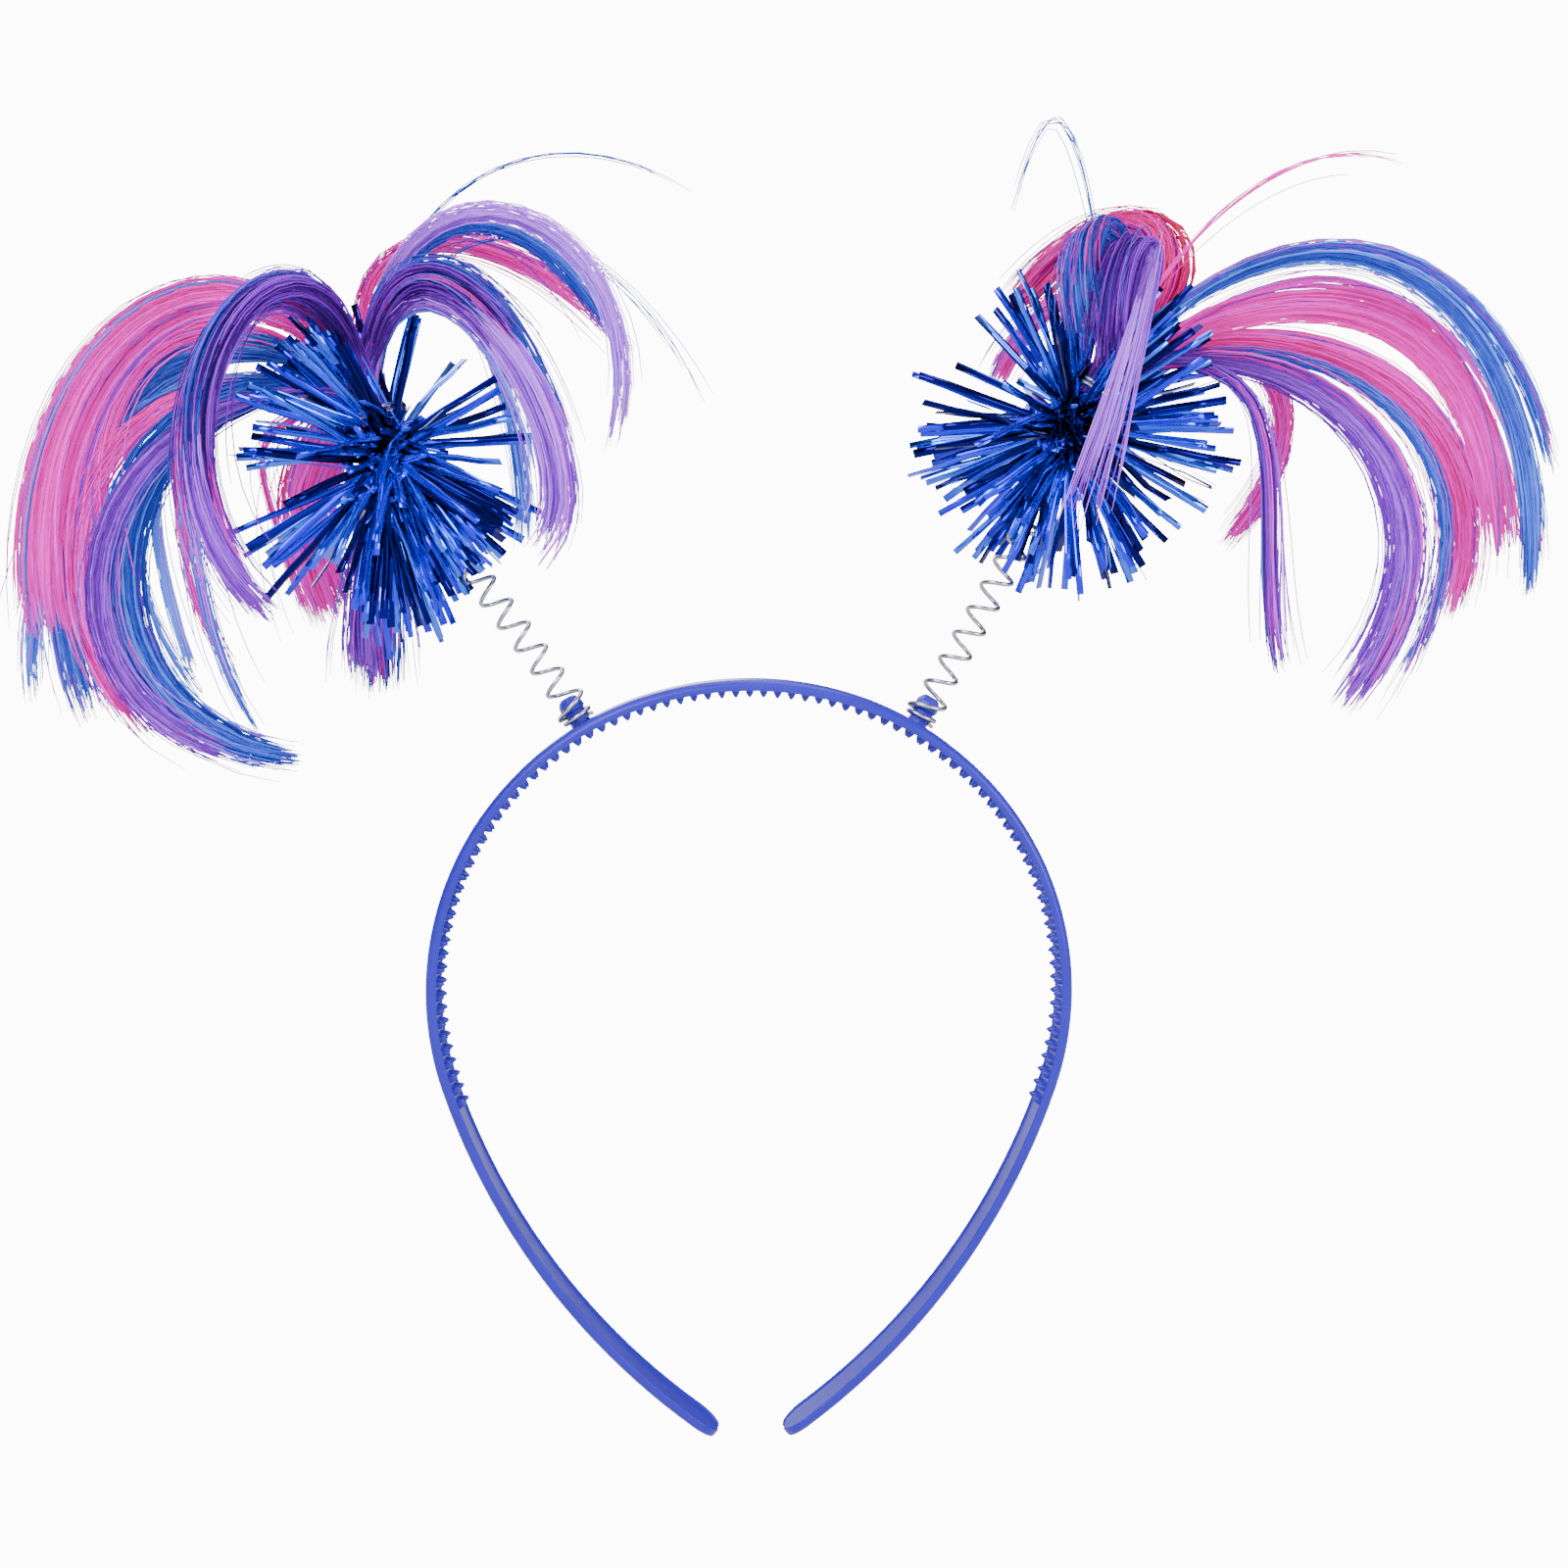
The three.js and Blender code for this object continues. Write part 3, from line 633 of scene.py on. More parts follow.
class Guide:
    """A curve through space that knows its own directions: along it, across it and out of it."""

    def __init__(self, points, across):
        line = cubic(np.array(points), np.linspace(0, 1, GUIDE_SAMPLES))
        steps = np.linalg.norm(np.diff(line, axis=0), axis=1)
        self.length = steps.sum()
        self.shares = np.concatenate([[0], np.cumsum(steps)]) / self.length
        self.line = line
        self.along = unit(np.gradient(line, axis=0))
        self.across = np.zeros_like(line)
        direction = np.array(across, float)
        for sample, tangent in enumerate(self.along):
            direction = unit(direction - direction.dot(tangent) * tangent)
            self.across[sample] = direction
        self.out = np.cross(self.along, self.across)

    def at(self, share):
        """Place and directions at an array of shares of the length."""
        def read(table):
            columns = [np.interp(share, self.shares, table[:, axis]) for axis in range(3)]
            return np.stack(columns, axis=-1)
        return read(self.line), unit(read(self.along)), unit(read(self.across)), unit(read(self.out))


print("guides have", GUIDE_SAMPLES, "samples")

# %% Place the springs, bursts and plumes
CORE_RADIUS = 6 * MM
SOCKET_DEPTH = 4.5 * MM
FIT_GAP = 0.3 * MM
STEM_LENGTH = 26.5 * MM
BOPPERS = {
    "left": {"sign": -1, "reach": 64.8 * MM, "lean": 35.4, "top_lean": 33, "plume_lean": 18},
    "right": {"sign": 1, "reach": 66.2 * MM, "lean": 27.4, "top_lean": 22, "plume_lean": 33},
}


def place_bopper(sign, reach, lean, top_lean, plume_lean):
    foot = band_point(PEG_ANGLE, BAND_WALL)
    foot.x *= sign
    start = leaning(PEG_ANGLE * sign)
    core = foot + leaning(lean * sign) * reach
    top = leaning(top_lean * sign)
    plume = leaning(plume_lean * sign)
    across = Vector((start.z, 0, -start.x))
    axis = Guide([foot, foot + start * reach / 3, core - top * reach / 3, core], across)
    root = core + plume * STEM_LENGTH
    return {"sign": sign, "core": core, "plume": plume, "axis": axis, "root": root}


places = {side: place_bopper(**row) for side, row in BOPPERS.items()}
for side, place in places.items():
    print(side, "core at", [round(value / MM, 1) for value in place["core"]], "mm")

# %% [markdown]
# ## Springs
#
# A coil spring is one wire, so it is one curve with a round bevel. The curve winds round the
# spring's own bent axis: a turn and a half lies close round the neck of the peg, the next one is
# wide enough to pass its head, and then the coil opens to its pitch. The curve is turned into a
# mesh with its ends closed.

# %% Turn a line into wire
WIRE_ROUNDNESS = 3
WIRE_SMOOTHING = 60  # degrees


def wire_mesh(name, points, radius):
    """A round wire along points, as a closed mesh."""
    curve = bpy.data.curves.new(name, "CURVE")
    curve.dimensions = "3D"
    curve.bevel_depth = radius
    curve.bevel_resolution = WIRE_ROUNDNESS
    curve.use_fill_caps = True
    line = curve.splines.new("POLY")
    line.points.add(len(points) - 1)
    line.points.foreach_set("co", np.column_stack([points, np.ones(len(points))]).ravel())
    wire = bpy.data.objects.new(name, curve)
    bpy.context.collection.objects.link(wire)
    activate(wire)
    bpy.ops.object.convert(target="MESH")
    close_mesh(WIRE_SMOOTHING)
    return bpy.context.object


print("wire builder ready")

# %% Wind the springs
WIRE_RADIUS = 0.45 * MM
COIL_RADIUS = 2.65 * MM
COIL_PITCH = 5.6 * MM
CLIP_TURNS = 1.5
CLIP_PITCH = 2 * WIRE_RADIUS + FIT_GAP
TURN_POINTS = 30


def smooth_step(value, low, high):
    share = np.clip((value - low) / (high - low), 0, 1)
    return share * share * (3 - 2 * share)


def coil_points(axis):
    """The wire's centre line round a bent axis, from the peg to the burst."""
    start = FIT_GAP + WIRE_RADIUS
    clip_end = start + CLIP_TURNS * CLIP_PITCH
    end = axis.length - CORE_RADIUS + SOCKET_DEPTH - FIT_GAP - WIRE_RADIUS
    turns = CLIP_TURNS + (end - clip_end) / COIL_PITCH
    turn = np.linspace(0, turns, math.ceil(turns * TURN_POINTS))
    height = np.where(
        turn < CLIP_TURNS, start + turn * CLIP_PITCH, clip_end + (turn - CLIP_TURNS) * COIL_PITCH
    )
    on_neck = PEG_NECK_RADIUS + FIT_GAP + WIRE_RADIUS
    past_head = PEG_HEAD_RADIUS + FIT_GAP + WIRE_RADIUS
    widening = smooth_step(height, clip_end - CLIP_PITCH / 2, PEG_NECK_HEIGHT)
    closing = smooth_step(height, PEG_HEIGHT - FIT_GAP, PEG_HEIGHT + COIL_PITCH / 2)
    radius = on_neck + (past_head - on_neck) * widening
    radius = (radius + (COIL_RADIUS - radius) * closing)[:, None]
    middle, along, _, _ = axis.at(height / axis.length)
    right = np.stack([along[:, 2], np.zeros(len(turn)), -along[:, 0]], axis=-1)
    back = np.array([0, 1, 0])
    phase = (turn * 2 * math.pi)[:, None]
    return middle + right * radius * np.cos(phase) + back * radius * np.sin(phase)


steel = Finish("drawn_steel_wire", Metallic=1.0, Roughness=0.3)
tarnish = steel.noise(150, detail=1)
steel.set("Base Color", steel.blend(tarnish, (0.32, 0.33, 0.35, 1), (0.54, 0.55, 0.58, 1)))
steel.set("Roughness", tarnish * 0.1 + 0.22)

for side, place in places.items():
    spring = wire_mesh(f"coil_{side}", coil_points(place["axis"]), WIRE_RADIUS)
    finished(spring, steel, "spring_steel", f"spring_{side}")

# %% [markdown]
# ## The wire ties
#
# Where the plume leaves the burst, its stem is bound by a few close turns of the same wire. The
# tie is a short helix round the stem.

# %% Wind the ties
STEM_RADIUS = 3.7 * MM
TIE_RADIUS = 0.45 * MM
TIE_TURNS = 2.2
TIE_PITCH = 2.1 * TIE_RADIUS


def tie_points(core, plume):
    ring = STEM_RADIUS + FIT_GAP + TIE_RADIUS
    turn = np.linspace(0, TIE_TURNS, math.ceil(TIE_TURNS * TURN_POINTS))
    base = np.array(core + plume * (CORE_RADIUS + FIT_GAP + 2 * TIE_RADIUS))
    up = np.array(plume)
    right = np.array((plume.z, 0, -plume.x))
    phase = (turn * 2 * math.pi)[:, None]
    rise = (turn * TIE_PITCH)[:, None]
    return base + up * rise + ring * (right * np.cos(phase) + np.array([0, 1, 0]) * np.sin(phase))


for side, place in places.items():
    tie = wire_mesh(f"stem_tie_{side}", tie_points(place["core"], place["plume"]), TIE_RADIUS)
    finished(tie, steel, "tie_wire", f"hair_tie_{side}")

# %% [markdown]
# ## Many ribbons in one mesh
#
# Foil strips and fibres are the same thing to Blender: a bar with a small outline that follows a
# line. Thousands of them are built as arrays at once: a ring of corners at every station of every
# line, quads between the rings and a face at each end. Each bar carries two attributes that its
# material reads: its own random shade, and the share of the way along it.

# %% Build bars from arrays
def bars(name, lines, across, half_width, half_thick, sides, shade):
    """Closed bars along lines[bar, station, xyz], wide along across, as one object."""
    count, stations, _ = lines.shape
    along = unit(np.gradient(lines, axis=1))
    wide = unit(across - (across * along).sum(-1, keepdims=True) * along)
    thick = np.cross(along, wide)
    turn = (np.arange(sides) + 0.5) * 2 * math.pi / sides
    reach_wide = half_width[..., None, None] * np.cos(turn)[:, None]
    reach_thick = half_thick[..., None, None] * np.sin(turn)[:, None]
    corners = lines[:, :, None] + wide[:, :, None] * reach_wide + thick[:, :, None] * reach_thick
    ring = np.arange(sides)
    after = (ring + 1) % sides
    station = np.arange(stations - 1)[:, None] * sides
    following = station + sides
    quads = np.stack([station + ring, station + after, following + after, following + ring], -1)
    quads = quads.reshape(-1, 4)
    first = ring[::-1]
    last = ring + (stations - 1) * sides
    one_bar = np.concatenate([quads.ravel(), first, last])
    loops = (np.arange(count)[:, None] * stations * sides + one_bar).ravel()
    sizes = np.tile(np.concatenate([np.full(len(quads), 4), [sides, sides]]), count)
    mesh = bpy.data.meshes.new(name)
    mesh.vertices.add(count * stations * sides)
    mesh.vertices.foreach_set("co", corners.astype(np.float32).ravel())
    mesh.loops.add(len(loops))
    mesh.loops.foreach_set("vertex_index", loops.astype(np.int32))
    mesh.polygons.add(len(sizes))
    starts = np.concatenate([[0], np.cumsum(sizes)[:-1]])
    mesh.polygons.foreach_set("loop_start", starts.astype(np.int32))
    mesh.update(calc_edges=True)
    return add_bar_attributes(name, mesh, shade, stations, sides)


def add_bar_attributes(name, mesh, shade, stations, sides):
    count = len(shade)
    along = np.linspace(0, 1, stations)
    values = {
        "shade": np.repeat(shade, stations * sides),
        "along": np.tile(np.repeat(along, sides), count),
    }
    for key, value in values.items():
        attribute = mesh.attributes.new(key, "FLOAT", "POINT")
        attribute.data.foreach_set("value", value.astype(np.float32))
    piece = bpy.data.objects.new(name, mesh)
    bpy.context.collection.objects.link(piece)
    return piece


print("bar builder ready")

# %% [markdown]
# ## Tinsel
#
# A burst is a bundle of foil strips bound at the middle, so its strips fall into fans with gaps
# between them. Each fan has a direction in the picture plane, a spread and a number of strips.
# Some narrow fans lean to the front: one on each side hides the end of the spring, and one on the
# right hides the tie. A strip is flat, cut square, creased here and there and slightly twisted, and
# those small turns make it sparkle: every stretch mirrors another part of the room. Most of the
# glitter is a painted reflection, though: each strip's colour is made bright or dark as a whole.

# %% Lay out the fans
def strip_fan(toward, opens, depth, strips, reach, up, front=0):
    """A fan: direction in degrees from +X towards +Z, how far it opens each way in the picture and
    in depth, number of strips, reach in shares of the burst's radius, how far up the binding it
    starts, from -1 to 1, and how many degrees it leans to the front."""
    return {
        "toward": toward, "opens": opens, "depth": depth, "strips": strips,
        "reach": reach, "up": up, "front": front,
    }


FANS = {
    "left": [
        strip_fan(150, 24, 35, 46, 0.9, 0.6),
        strip_fan(121, 14, 32, 34, 0.84, 0.8, front=18),
        strip_fan(-42, 20, 40, 46, 0.94, 0.2),
        strip_fan(-80, 17, 40, 44, 1.03, -0.9),
        strip_fan(10, 22, 30, 8, 0.92, 0.4),
        strip_fan(-140, 28, 20, 11, 0.97, -0.7),
        strip_fan(76, 4, 10, 3, 0.75, 0.9),
        strip_fan(176, 9, 30, 8, 0.97, 0),
        strip_fan(-58, 15, 8, 20, 0.93, -0.2, front=22),
    ],
    "right": [
        strip_fan(176, 24, 30, 18, 1.03, 0),
        strip_fan(187, 2, 5, 3, 1.05, 0, front=20),
        strip_fan(9, 5, 5, 5, 0.9, 0, front=22),
        strip_fan(102, 25, 40, 28, 0.9, 0.5),
        strip_fan(55, 22, 40, 24, 0.97, 0.4),
        strip_fan(25, 13, 35, 14, 1, 0.2),
        strip_fan(-2, 12, 30, 10, 1, 0),
        strip_fan(-28, 12, 25, 9, 0.97, 0),
        strip_fan(-78, 32, 42, 42, 0.97, -0.5),
        strip_fan(-134, 26, 40, 32, 0.94, -0.3),
        strip_fan(-115, 9, 7, 11, 0.9, 0, front=22),
        strip_fan(52, 16, 10, 10, 0.85, 0.4, front=20),
    ],
}
print({side: sum(fan["strips"] for fan in fans) for side, fans in FANS.items()}, "strips in fans")

# %% Lay the strips of a burst
STRIP_STATIONS = 6
BURST_RADIUS = 33 * MM
LENGTH_SPREAD = (0.85, 1.03)  # shares of a fan's reach
FACING_STRIPS = 36  # towards the front and the back of a burst, half each way
FACING_SPREAD = 0.7
FOLDED_STRIPS = 80  # short ends that stick out of the binding
FOLDED_SPREAD = (0.25, 0.5)
BINDING_LENGTH = 12 * MM  # how far the roots of the strips are spread
BINDING_LEANS = {"left": 20, "right": -10}  # degrees
BINDING_CHANCE = 0.25  # share of a root's height that is left to chance
ROOT_SPREAD = 0.8 * MM
BEND = 1.0 * MM  # at the end of a strip
ROLL_SPREAD = 0.7  # radians, how far a strip turns its wide side away from the front
TWIST_SPREAD = 0.25  # radians more at the end of a strip
CREASE = 0.3 * MM


def fan_directions(fan, random):
    count = fan["strips"]
    turn = np.radians(fan["toward"] + fan["opens"] * random.uniform(-1, 1, count))
    depth = np.radians(fan["depth"] * random.uniform(-1, 1, count) - fan["front"])
    flat = np.cos(depth)
    return np.stack([flat * np.cos(turn), np.sin(depth), flat * np.sin(turn)], axis=-1)


def facing_directions(count, random):
    sideways = random.normal(0, FACING_SPREAD, (count, 3))
    sideways[:, 1] = np.where(np.arange(count) % 2, 1, -1)
    return unit(sideways)


def tinsel_lines(side, place, random):
    """Creased lines of the strips, and the direction in which each is wide."""
    fans = FANS[side]
    free = FACING_STRIPS + FOLDED_STRIPS
    toward = [fan_directions(fan, random) for fan in fans]
    toward = np.concatenate([*toward, facing_directions(free, random)])
    count = len(toward)
    strips = [fan["strips"] for fan in fans]
    reach = np.append(np.repeat([fan["reach"] for fan in fans], strips), np.ones(free))
    up = np.append(np.repeat([fan["up"] for fan in fans], strips), random.uniform(-1, 1, free))
    length = BURST_RADIUS * reach * random.uniform(*LENGTH_SPREAD, count)
    length[-FOLDED_STRIPS:] *= random.uniform(*FOLDED_SPREAD, FOLDED_STRIPS)
    height = (1 - BINDING_CHANCE) * up + BINDING_CHANCE * random.uniform(-1, 1, count)
    height = height[:, None] * BINDING_LENGTH / 2
    root = np.array(place["core"]) + np.array(leaning(BINDING_LEANS[side])) * height
    root += random.normal(0, ROOT_SPREAD, (count, 3))
    share = np.linspace(0, 1, STRIP_STATIONS)
    lines = root[:, None] + toward[:, None] * (length[:, None] * share)[..., None]
    side_way = unit(np.cross(toward, [0, 1, 0]))
    bow = np.cross(side_way, toward)
    bend = random.normal(0, BEND, (2, count, 1)) * share**2
    lines += bow[:, None] * bend[0][..., None] + side_way[:, None] * bend[1][..., None]
    roll = random.normal(0, ROLL_SPREAD, (count, 1))
    roll = roll + random.normal(0, TWIST_SPREAD, (count, 1)) * share
    flat = np.cos(roll)[..., None]
    turned = np.sin(roll)[..., None]
    across = side_way[:, None] * flat + bow[:, None] * turned
    crease = random.normal(0, CREASE, (*roll.shape, 1))
    lines += (bow[:, None] * flat - side_way[:, None] * turned) * crease
    return lines, across


print("strips out of the fans:", FACING_STRIPS + FOLDED_STRIPS, "in each burst")

# %% [markdown]
# ## Metallised film
#
# The strips are clear blue lacquer over a mirror. A metal shader with a deep blue colour does the
# same, because a metal tints what it mirrors. Each strip also has a random shade that paints its
# colour, almost as a whole, from dark navy to bright blue: a painted reflection, and that is what
# makes a burst glitter.

# %% Make and finish the bursts
STRIP_HALF_WIDTH = 0.8 * MM
STRIP_HALF_THICK = 0.05 * MM
WIDTH_SPREAD = (0.75, 1.1)
TINSEL_SEED = 7
SQUARE = math.sqrt(2)  # from half a side to the corner

foil = Finish("blue_metallised_film", Metallic=1.0, Roughness=0.16)
# Painted reflection: each strip's random shade paints its colour from a dark navy, which stands for
# mirrored dark room, to a bright blue, which stands for a mirrored lamp.
foil_painted_reflection = foil.attribute("shade")
foil_painted_dark = foil.blend(foil_painted_reflection.rising(0.25, 0.5), (0.006, 0.001, 0.12, 1), (0.02, 0.008, 1.0, 1))
foil.set("Base Color", foil.blend(foil_painted_reflection.rising(0.6, 0.85), foil_painted_dark, (0.05, 0.16, 1.0, 1)))
foil.set("Roughness", 0.14 - foil_painted_reflection * 0.06)

random = np.random.default_rng(TINSEL_SEED)
for side, place in places.items():
    lines, across = tinsel_lines(side, place, random)
    shape = lines.shape[:2]
    half_width = STRIP_HALF_WIDTH * random.uniform(*WIDTH_SPREAD, (shape[0], 1)) * np.ones(shape[1])
    burst = bars(
        f"foil_burst_{side}", lines, across, half_width * SQUARE,
        np.full(shape, STRIP_HALF_THICK * SQUARE), sides=4, shade=random.random(shape[0]),
    )
    finished(burst, foil, "tinsel_film", f"tinsel_{side}")

# %% [markdown]
# ## Plumes
#
# A plume is three hanks of straight synthetic fibre. They leave the tie as one round stem, part
# a little above it and fall in locks. Each lock is drawn by one guide, a cubic curve from the root
# to a tip, with two control points and the tip given as (out, back, up) in shares of a common reach.
# Some locks are fuller or thinner than the rest (dense), darker or lighter as painted shade and light
# on the whole lock (tone), drawn to a point (taper), spread at the tip (fan), cut more unevenly (ragged)
# or hold another share of wisps in any of the three colours (stray). The fibres of a lock gather in
# wisps.

# %% Lay out the locks
LOCK_REACH = 84 * MM
LOCK_WIDTH = 12 * MM
LOCK_THICKNESS = 0.42  # share of the width
LAYER_STEP = 2.6 * MM  # from the middle of one hank in the stem to the next
HANK_LAYERS = {"violet": -1, "blue": 0, "pink": 1}
LONE_HAIR_WIDTH = 0.05
HABITS = {"dense": 1, "tone": 0, "taper": 1, "fan": 1.1, "ragged": 1, "stray": 0.14, "fibres": None}


def tress(rise, bow, tip, width, **habits):
    """One lock: its two control points and its tip, its share of the full width, and its habits."""
    return {"rise": rise, "bow": bow, "tip": tip, "width": width, **HABITS, **habits}


def lone_hair(rise, bow, tip, fibres):
    """A fixed number of single hairs that stand off on their own, thinner than any lock."""
    return tress(rise, bow, tip, LONE_HAIR_WIDTH, stray=0, fibres=fibres)


LOCKS = {
    ("left", "pink"): [
        tress((0.23, 0, 0.38), (0.82, -0.06, -0.04), (0.7, -0.06, -0.73), 0.45,
              dense=1.9, fan=2, tone=0.1),
        tress((0.28, 0.02, 0.31), (0.75, -0.02, -0.1), (0.65, -0.02, -0.73), 0.55,
              dense=1.4, fan=1.6, tone=0.1, ragged=1.5),
        tress((0.33, 0.02, 0.19), (0.7, -0.02, -0.08), (0.55, -0.02, -0.67), 0.4, dense=0.6),
        tress((0.52, 0.01, 0.04), (0.87, -0.03, -0.56), (0.45, -0.06, -0.97), 0.4),
        tress((0.19, 0.3, -0.28), (0.23, 0.5, -0.46), (0.11, 0.42, -0.7), 1.25, dense=0.9),
        tress((0.39, 0.3, -0.22), (0.3, 0.5, -0.29), (0.19, 0.4, -0.67), 0.2, dense=0.5),
        tress((0.07, 0.03, 0.34), (-0.43, 0.08, 0.26), (-0.67, 0.1, -0.05), 0.42,
              dense=0.42, fan=1.5, tone=-0.1, ragged=2),
        tress((0.3, -0.1, 0.5), (0.46, -0.3, -0.5), (0.2, -0.3, -0.8), 0.25, dense=0.5, ragged=2),
    ],
    ("left", "blue"): [
        tress((0.52, 0.06, 0.23), (0.85, 0.18, -0.43), (0.65, 0.16, -0.95), 0.75, tone=0.2, ragged=1.6),
        tress((0.39, 0.08, 0.2), (0.89, 0.2, -0.48), (0.8, 0.18, -0.91), 0.35, tone=0.5, ragged=1.6),
        tress((0.51, 0.04, 0), (0.76, 0.06, -0.32), (0.55, 0.06, -0.88), 0.25, dense=0.6),
        tress((0.63, 0, -0.02), (0.74, -0.01, -0.97), (0.11, 0, -1.01), 0.9, taper=0.35),
        tress((0.27, -0.1, 0.51), (0.44, -0.3, -0.52), (0.14, -0.3, -0.94), 0.25, dense=0.5, tone=0.3),
        tress((0.47, 0, -0.12), (0.54, 0.05, -0.35), (0.37, 0.05, -0.83), 0.2, dense=0.8, tone=0.6),
        tress((0.48, 0.02, -0.07), (0.65, 0.06, -0.52), (0.35, 0.06, -0.88), 0.12, dense=0.6, tone=0.4),
        tress((-0.1, 0.2, -0.37), (0.02, 0.5, -0.52), (-0.02, 0.3, -0.88), 0.8,
              tone=-0.2, fan=1.4, ragged=1.5),
        tress((-0.09, 0, 0.3), (-0.43, 0, 0.35), (-0.63, 0, -0.04), 0.24, dense=0.9),
        tress((-0.17, 0, 0.42), (-0.47, 0.02, 0.01), (-0.52, 0.02, -0.33), 0.35, dense=0.5, ragged=2),
        tress((-0.22, 0, 0.45), (-0.44, 0.05, -0.16), (-0.41, 0.05, -0.52), 0.35, dense=0.5, tone=0.4),
        tress((0, -0.24, 0.27), (0.31, -0.56, -0.02), (0.21, -0.5, -0.44), 0.7,
              dense=0.34, tone=-0.2, ragged=8, stray=0),
        tress((-0.11, -0.08, 0.17), (-0.27, -0.17, 0.18), (-0.45, -0.16, -0.07), 0.6,
              dense=0.36, tone=-0.2, ragged=6, stray=0),
    ],
    ("left", "violet"): [
        tress((0.6, -0.03, -0.08), (0.79, -0.04, -0.85), (0.27, -0.04, -1), 0.45, taper=0.5),
        tress((0.1, -0.2, 0.44), (0.44, -0.5, -0.38), (0.06, -0.46, -0.67), 0.95,
              fan=1.5, ragged=2, stray=0.12),
        tress((-0.01, -0.22, 0.26), (0.3, -0.53, -0.03), (0.2, -0.48, -0.46), 0.85,
              dense=0.7, tone=-0.35, ragged=9, stray=0.1),
        tress((-0.13, 0.2, -0.37), (0.06, 0.45, -0.45), (0, 0.3, -0.85), 0.7,
              dense=0.8, fan=1.4, ragged=1.5),
        tress((-0.11, -0.03, 0.54), (-0.81, -0.12, 0.22), (-0.62, -0.1, -0.3), 0.34,
              dense=0.62, fan=1.3, tone=0.5, taper=0.7, ragged=2.4, stray=0.1),
        tress((-0.17, -0.08, 0.42), (-0.68, -0.18, -0.35), (-0.45, -0.16, -0.54), 0.65,
              fan=1.4, tone=0.3, ragged=2.2, stray=0.1),
        tress((-0.11, -0.06, 0.15), (-0.26, -0.14, 0.16), (-0.43, -0.13, -0.09), 0.6,
              dense=0.8, tone=-0.4, ragged=6, stray=0.1),
    ],
    ("right", "pink"): [
        tress((0.39, 0.03, 0.16), (0.86, 0.1, 0.09), (0.92, 0.1, -0.57), 0.66, tone=0.1, stray=0.05),
        tress((0.34, 0.06, 0.1), (1, 0.16, -0.19), (0.8, 0.16, -0.73), 0.42, stray=0.08),
        tress((0.26, 0.05, 0.05), (0.77, 0.12, -0.01), (0.86, 0.12, -0.48), 0.2, dense=0.8),
        tress((0.25, 0.04, 0.06), (0.5, 0.1, 0.26), (0.87, 0.1, -0.15), 0.14, dense=0.6),
        tress((0.38, 0.18, 0.11), (0.57, 0.34, -0.26), (0.27, 0.33, -0.55), 0.6, dense=0.5),
        tress((0.26, 0.08, 0.16), (0.03, 0.26, 0.45), (-0.27, 0.34, 0.04), 0.9, tone=-0.45),
        tress((-0.05, 0.1, 0.19), (-0.24, 0.3, 0.06), (-0.31, 0.36, -0.14), 0.6, dense=0.7),
    ],
    ("right", "blue"): [
        tress((0.44, 0, 0.44), (0.98, 0.02, 0.04), (0.94, 0.02, -0.67), 0.32, tone=0.2),
        tress((0.28, -0.01, 0.31), (0.82, -0.03, 0.25), (0.97, -0.03, -0.39), 0.2, dense=0.7, tone=0.2),
        tress((0.44, 0, 0.05), (0.95, 0.02, -0.29), (0.64, 0.02, -0.86), 0.2, dense=0.8),
        tress((0.01, 0, 0.17), (-0.27, -0.26, 0.31), (-0.2, -0.34, -0.11), 0.75,
              tone=-0.1, ragged=3, stray=0.5),
    ],
    ("right", "violet"): [
        tress((0.44, -0.04, 0.01), (0.82, -0.12, -0.48), (0.44, -0.1, -0.93), 0.6, tone=0.1, stray=0.06),
        tress((0.41, -0.08, -0.03), (0.2, -0.16, -0.49), (0.29, -0.16, -0.84), 0.26,
              dense=0.9, tone=-0.1),
        tress((0.09, -0.15, 0.54), (-0.16, -0.58, -0.24), (-0.23, -0.46, -0.54), 0.24,
              dense=0.4, tone=0.25, fan=4.2, ragged=2, stray=0.08),
        tress((0.04, -0.14, 0.18), (-0.17, -0.36, 0.23), (-0.16, -0.34, -0.17), 0.7,
              dense=0.8, tone=-0.3, ragged=3),
    ],
}

LONE_HAIRS = {
    ("left", "blue"): [
        lone_hair((-0.1, 0, 0.35), (-0.5, 0, 0.52), (-0.83, 0, 0.28), 4),
        lone_hair((-0.2, 0, 0.35), (-0.62, 0, 0.3), (-0.84, 0, -0.19), 6),
    ],
    ("right", "blue"): [
        lone_hair((-0.13, 0, 0.42), (-0.23, 0, 0.66), (-0.325, 0, 0.22), 7),
    ],
    ("right", "pink"): [
        lone_hair((0.12, 0, 0.28), (0.38, 0, 0.42), (0.62, 0, 0.35), 9),
    ],
}

print("locks:", {" ".join(key): len(rows) for key, rows in LOCKS.items()})

# %% [markdown]
# ## Fibres
#
# Each hank becomes one mesh of fibres with three sides, because a fibre is thinner than a pixel
# and its shape never shows, only its sheen and its line. The number of fibres in a lock follows
# its width. Near the root a wisp keeps its place in the round stem, and it moves over to its
# place in the lock within the first fifth of the way. From there it drifts across its neighbours.
# Some wisps stray out of the lock, some fibres leave their wisp and cross it, and all are cut at
# different lengths. Each wisp has a shade of its own, partly tone and partly painted shade and light.
# The hanks were combed together, so most locks hold a few wisps of the other colours.

# %% Draw the guide of a lock
ROOT_DROP = 14 * MM  # how far below the top of the stem the locks start to part


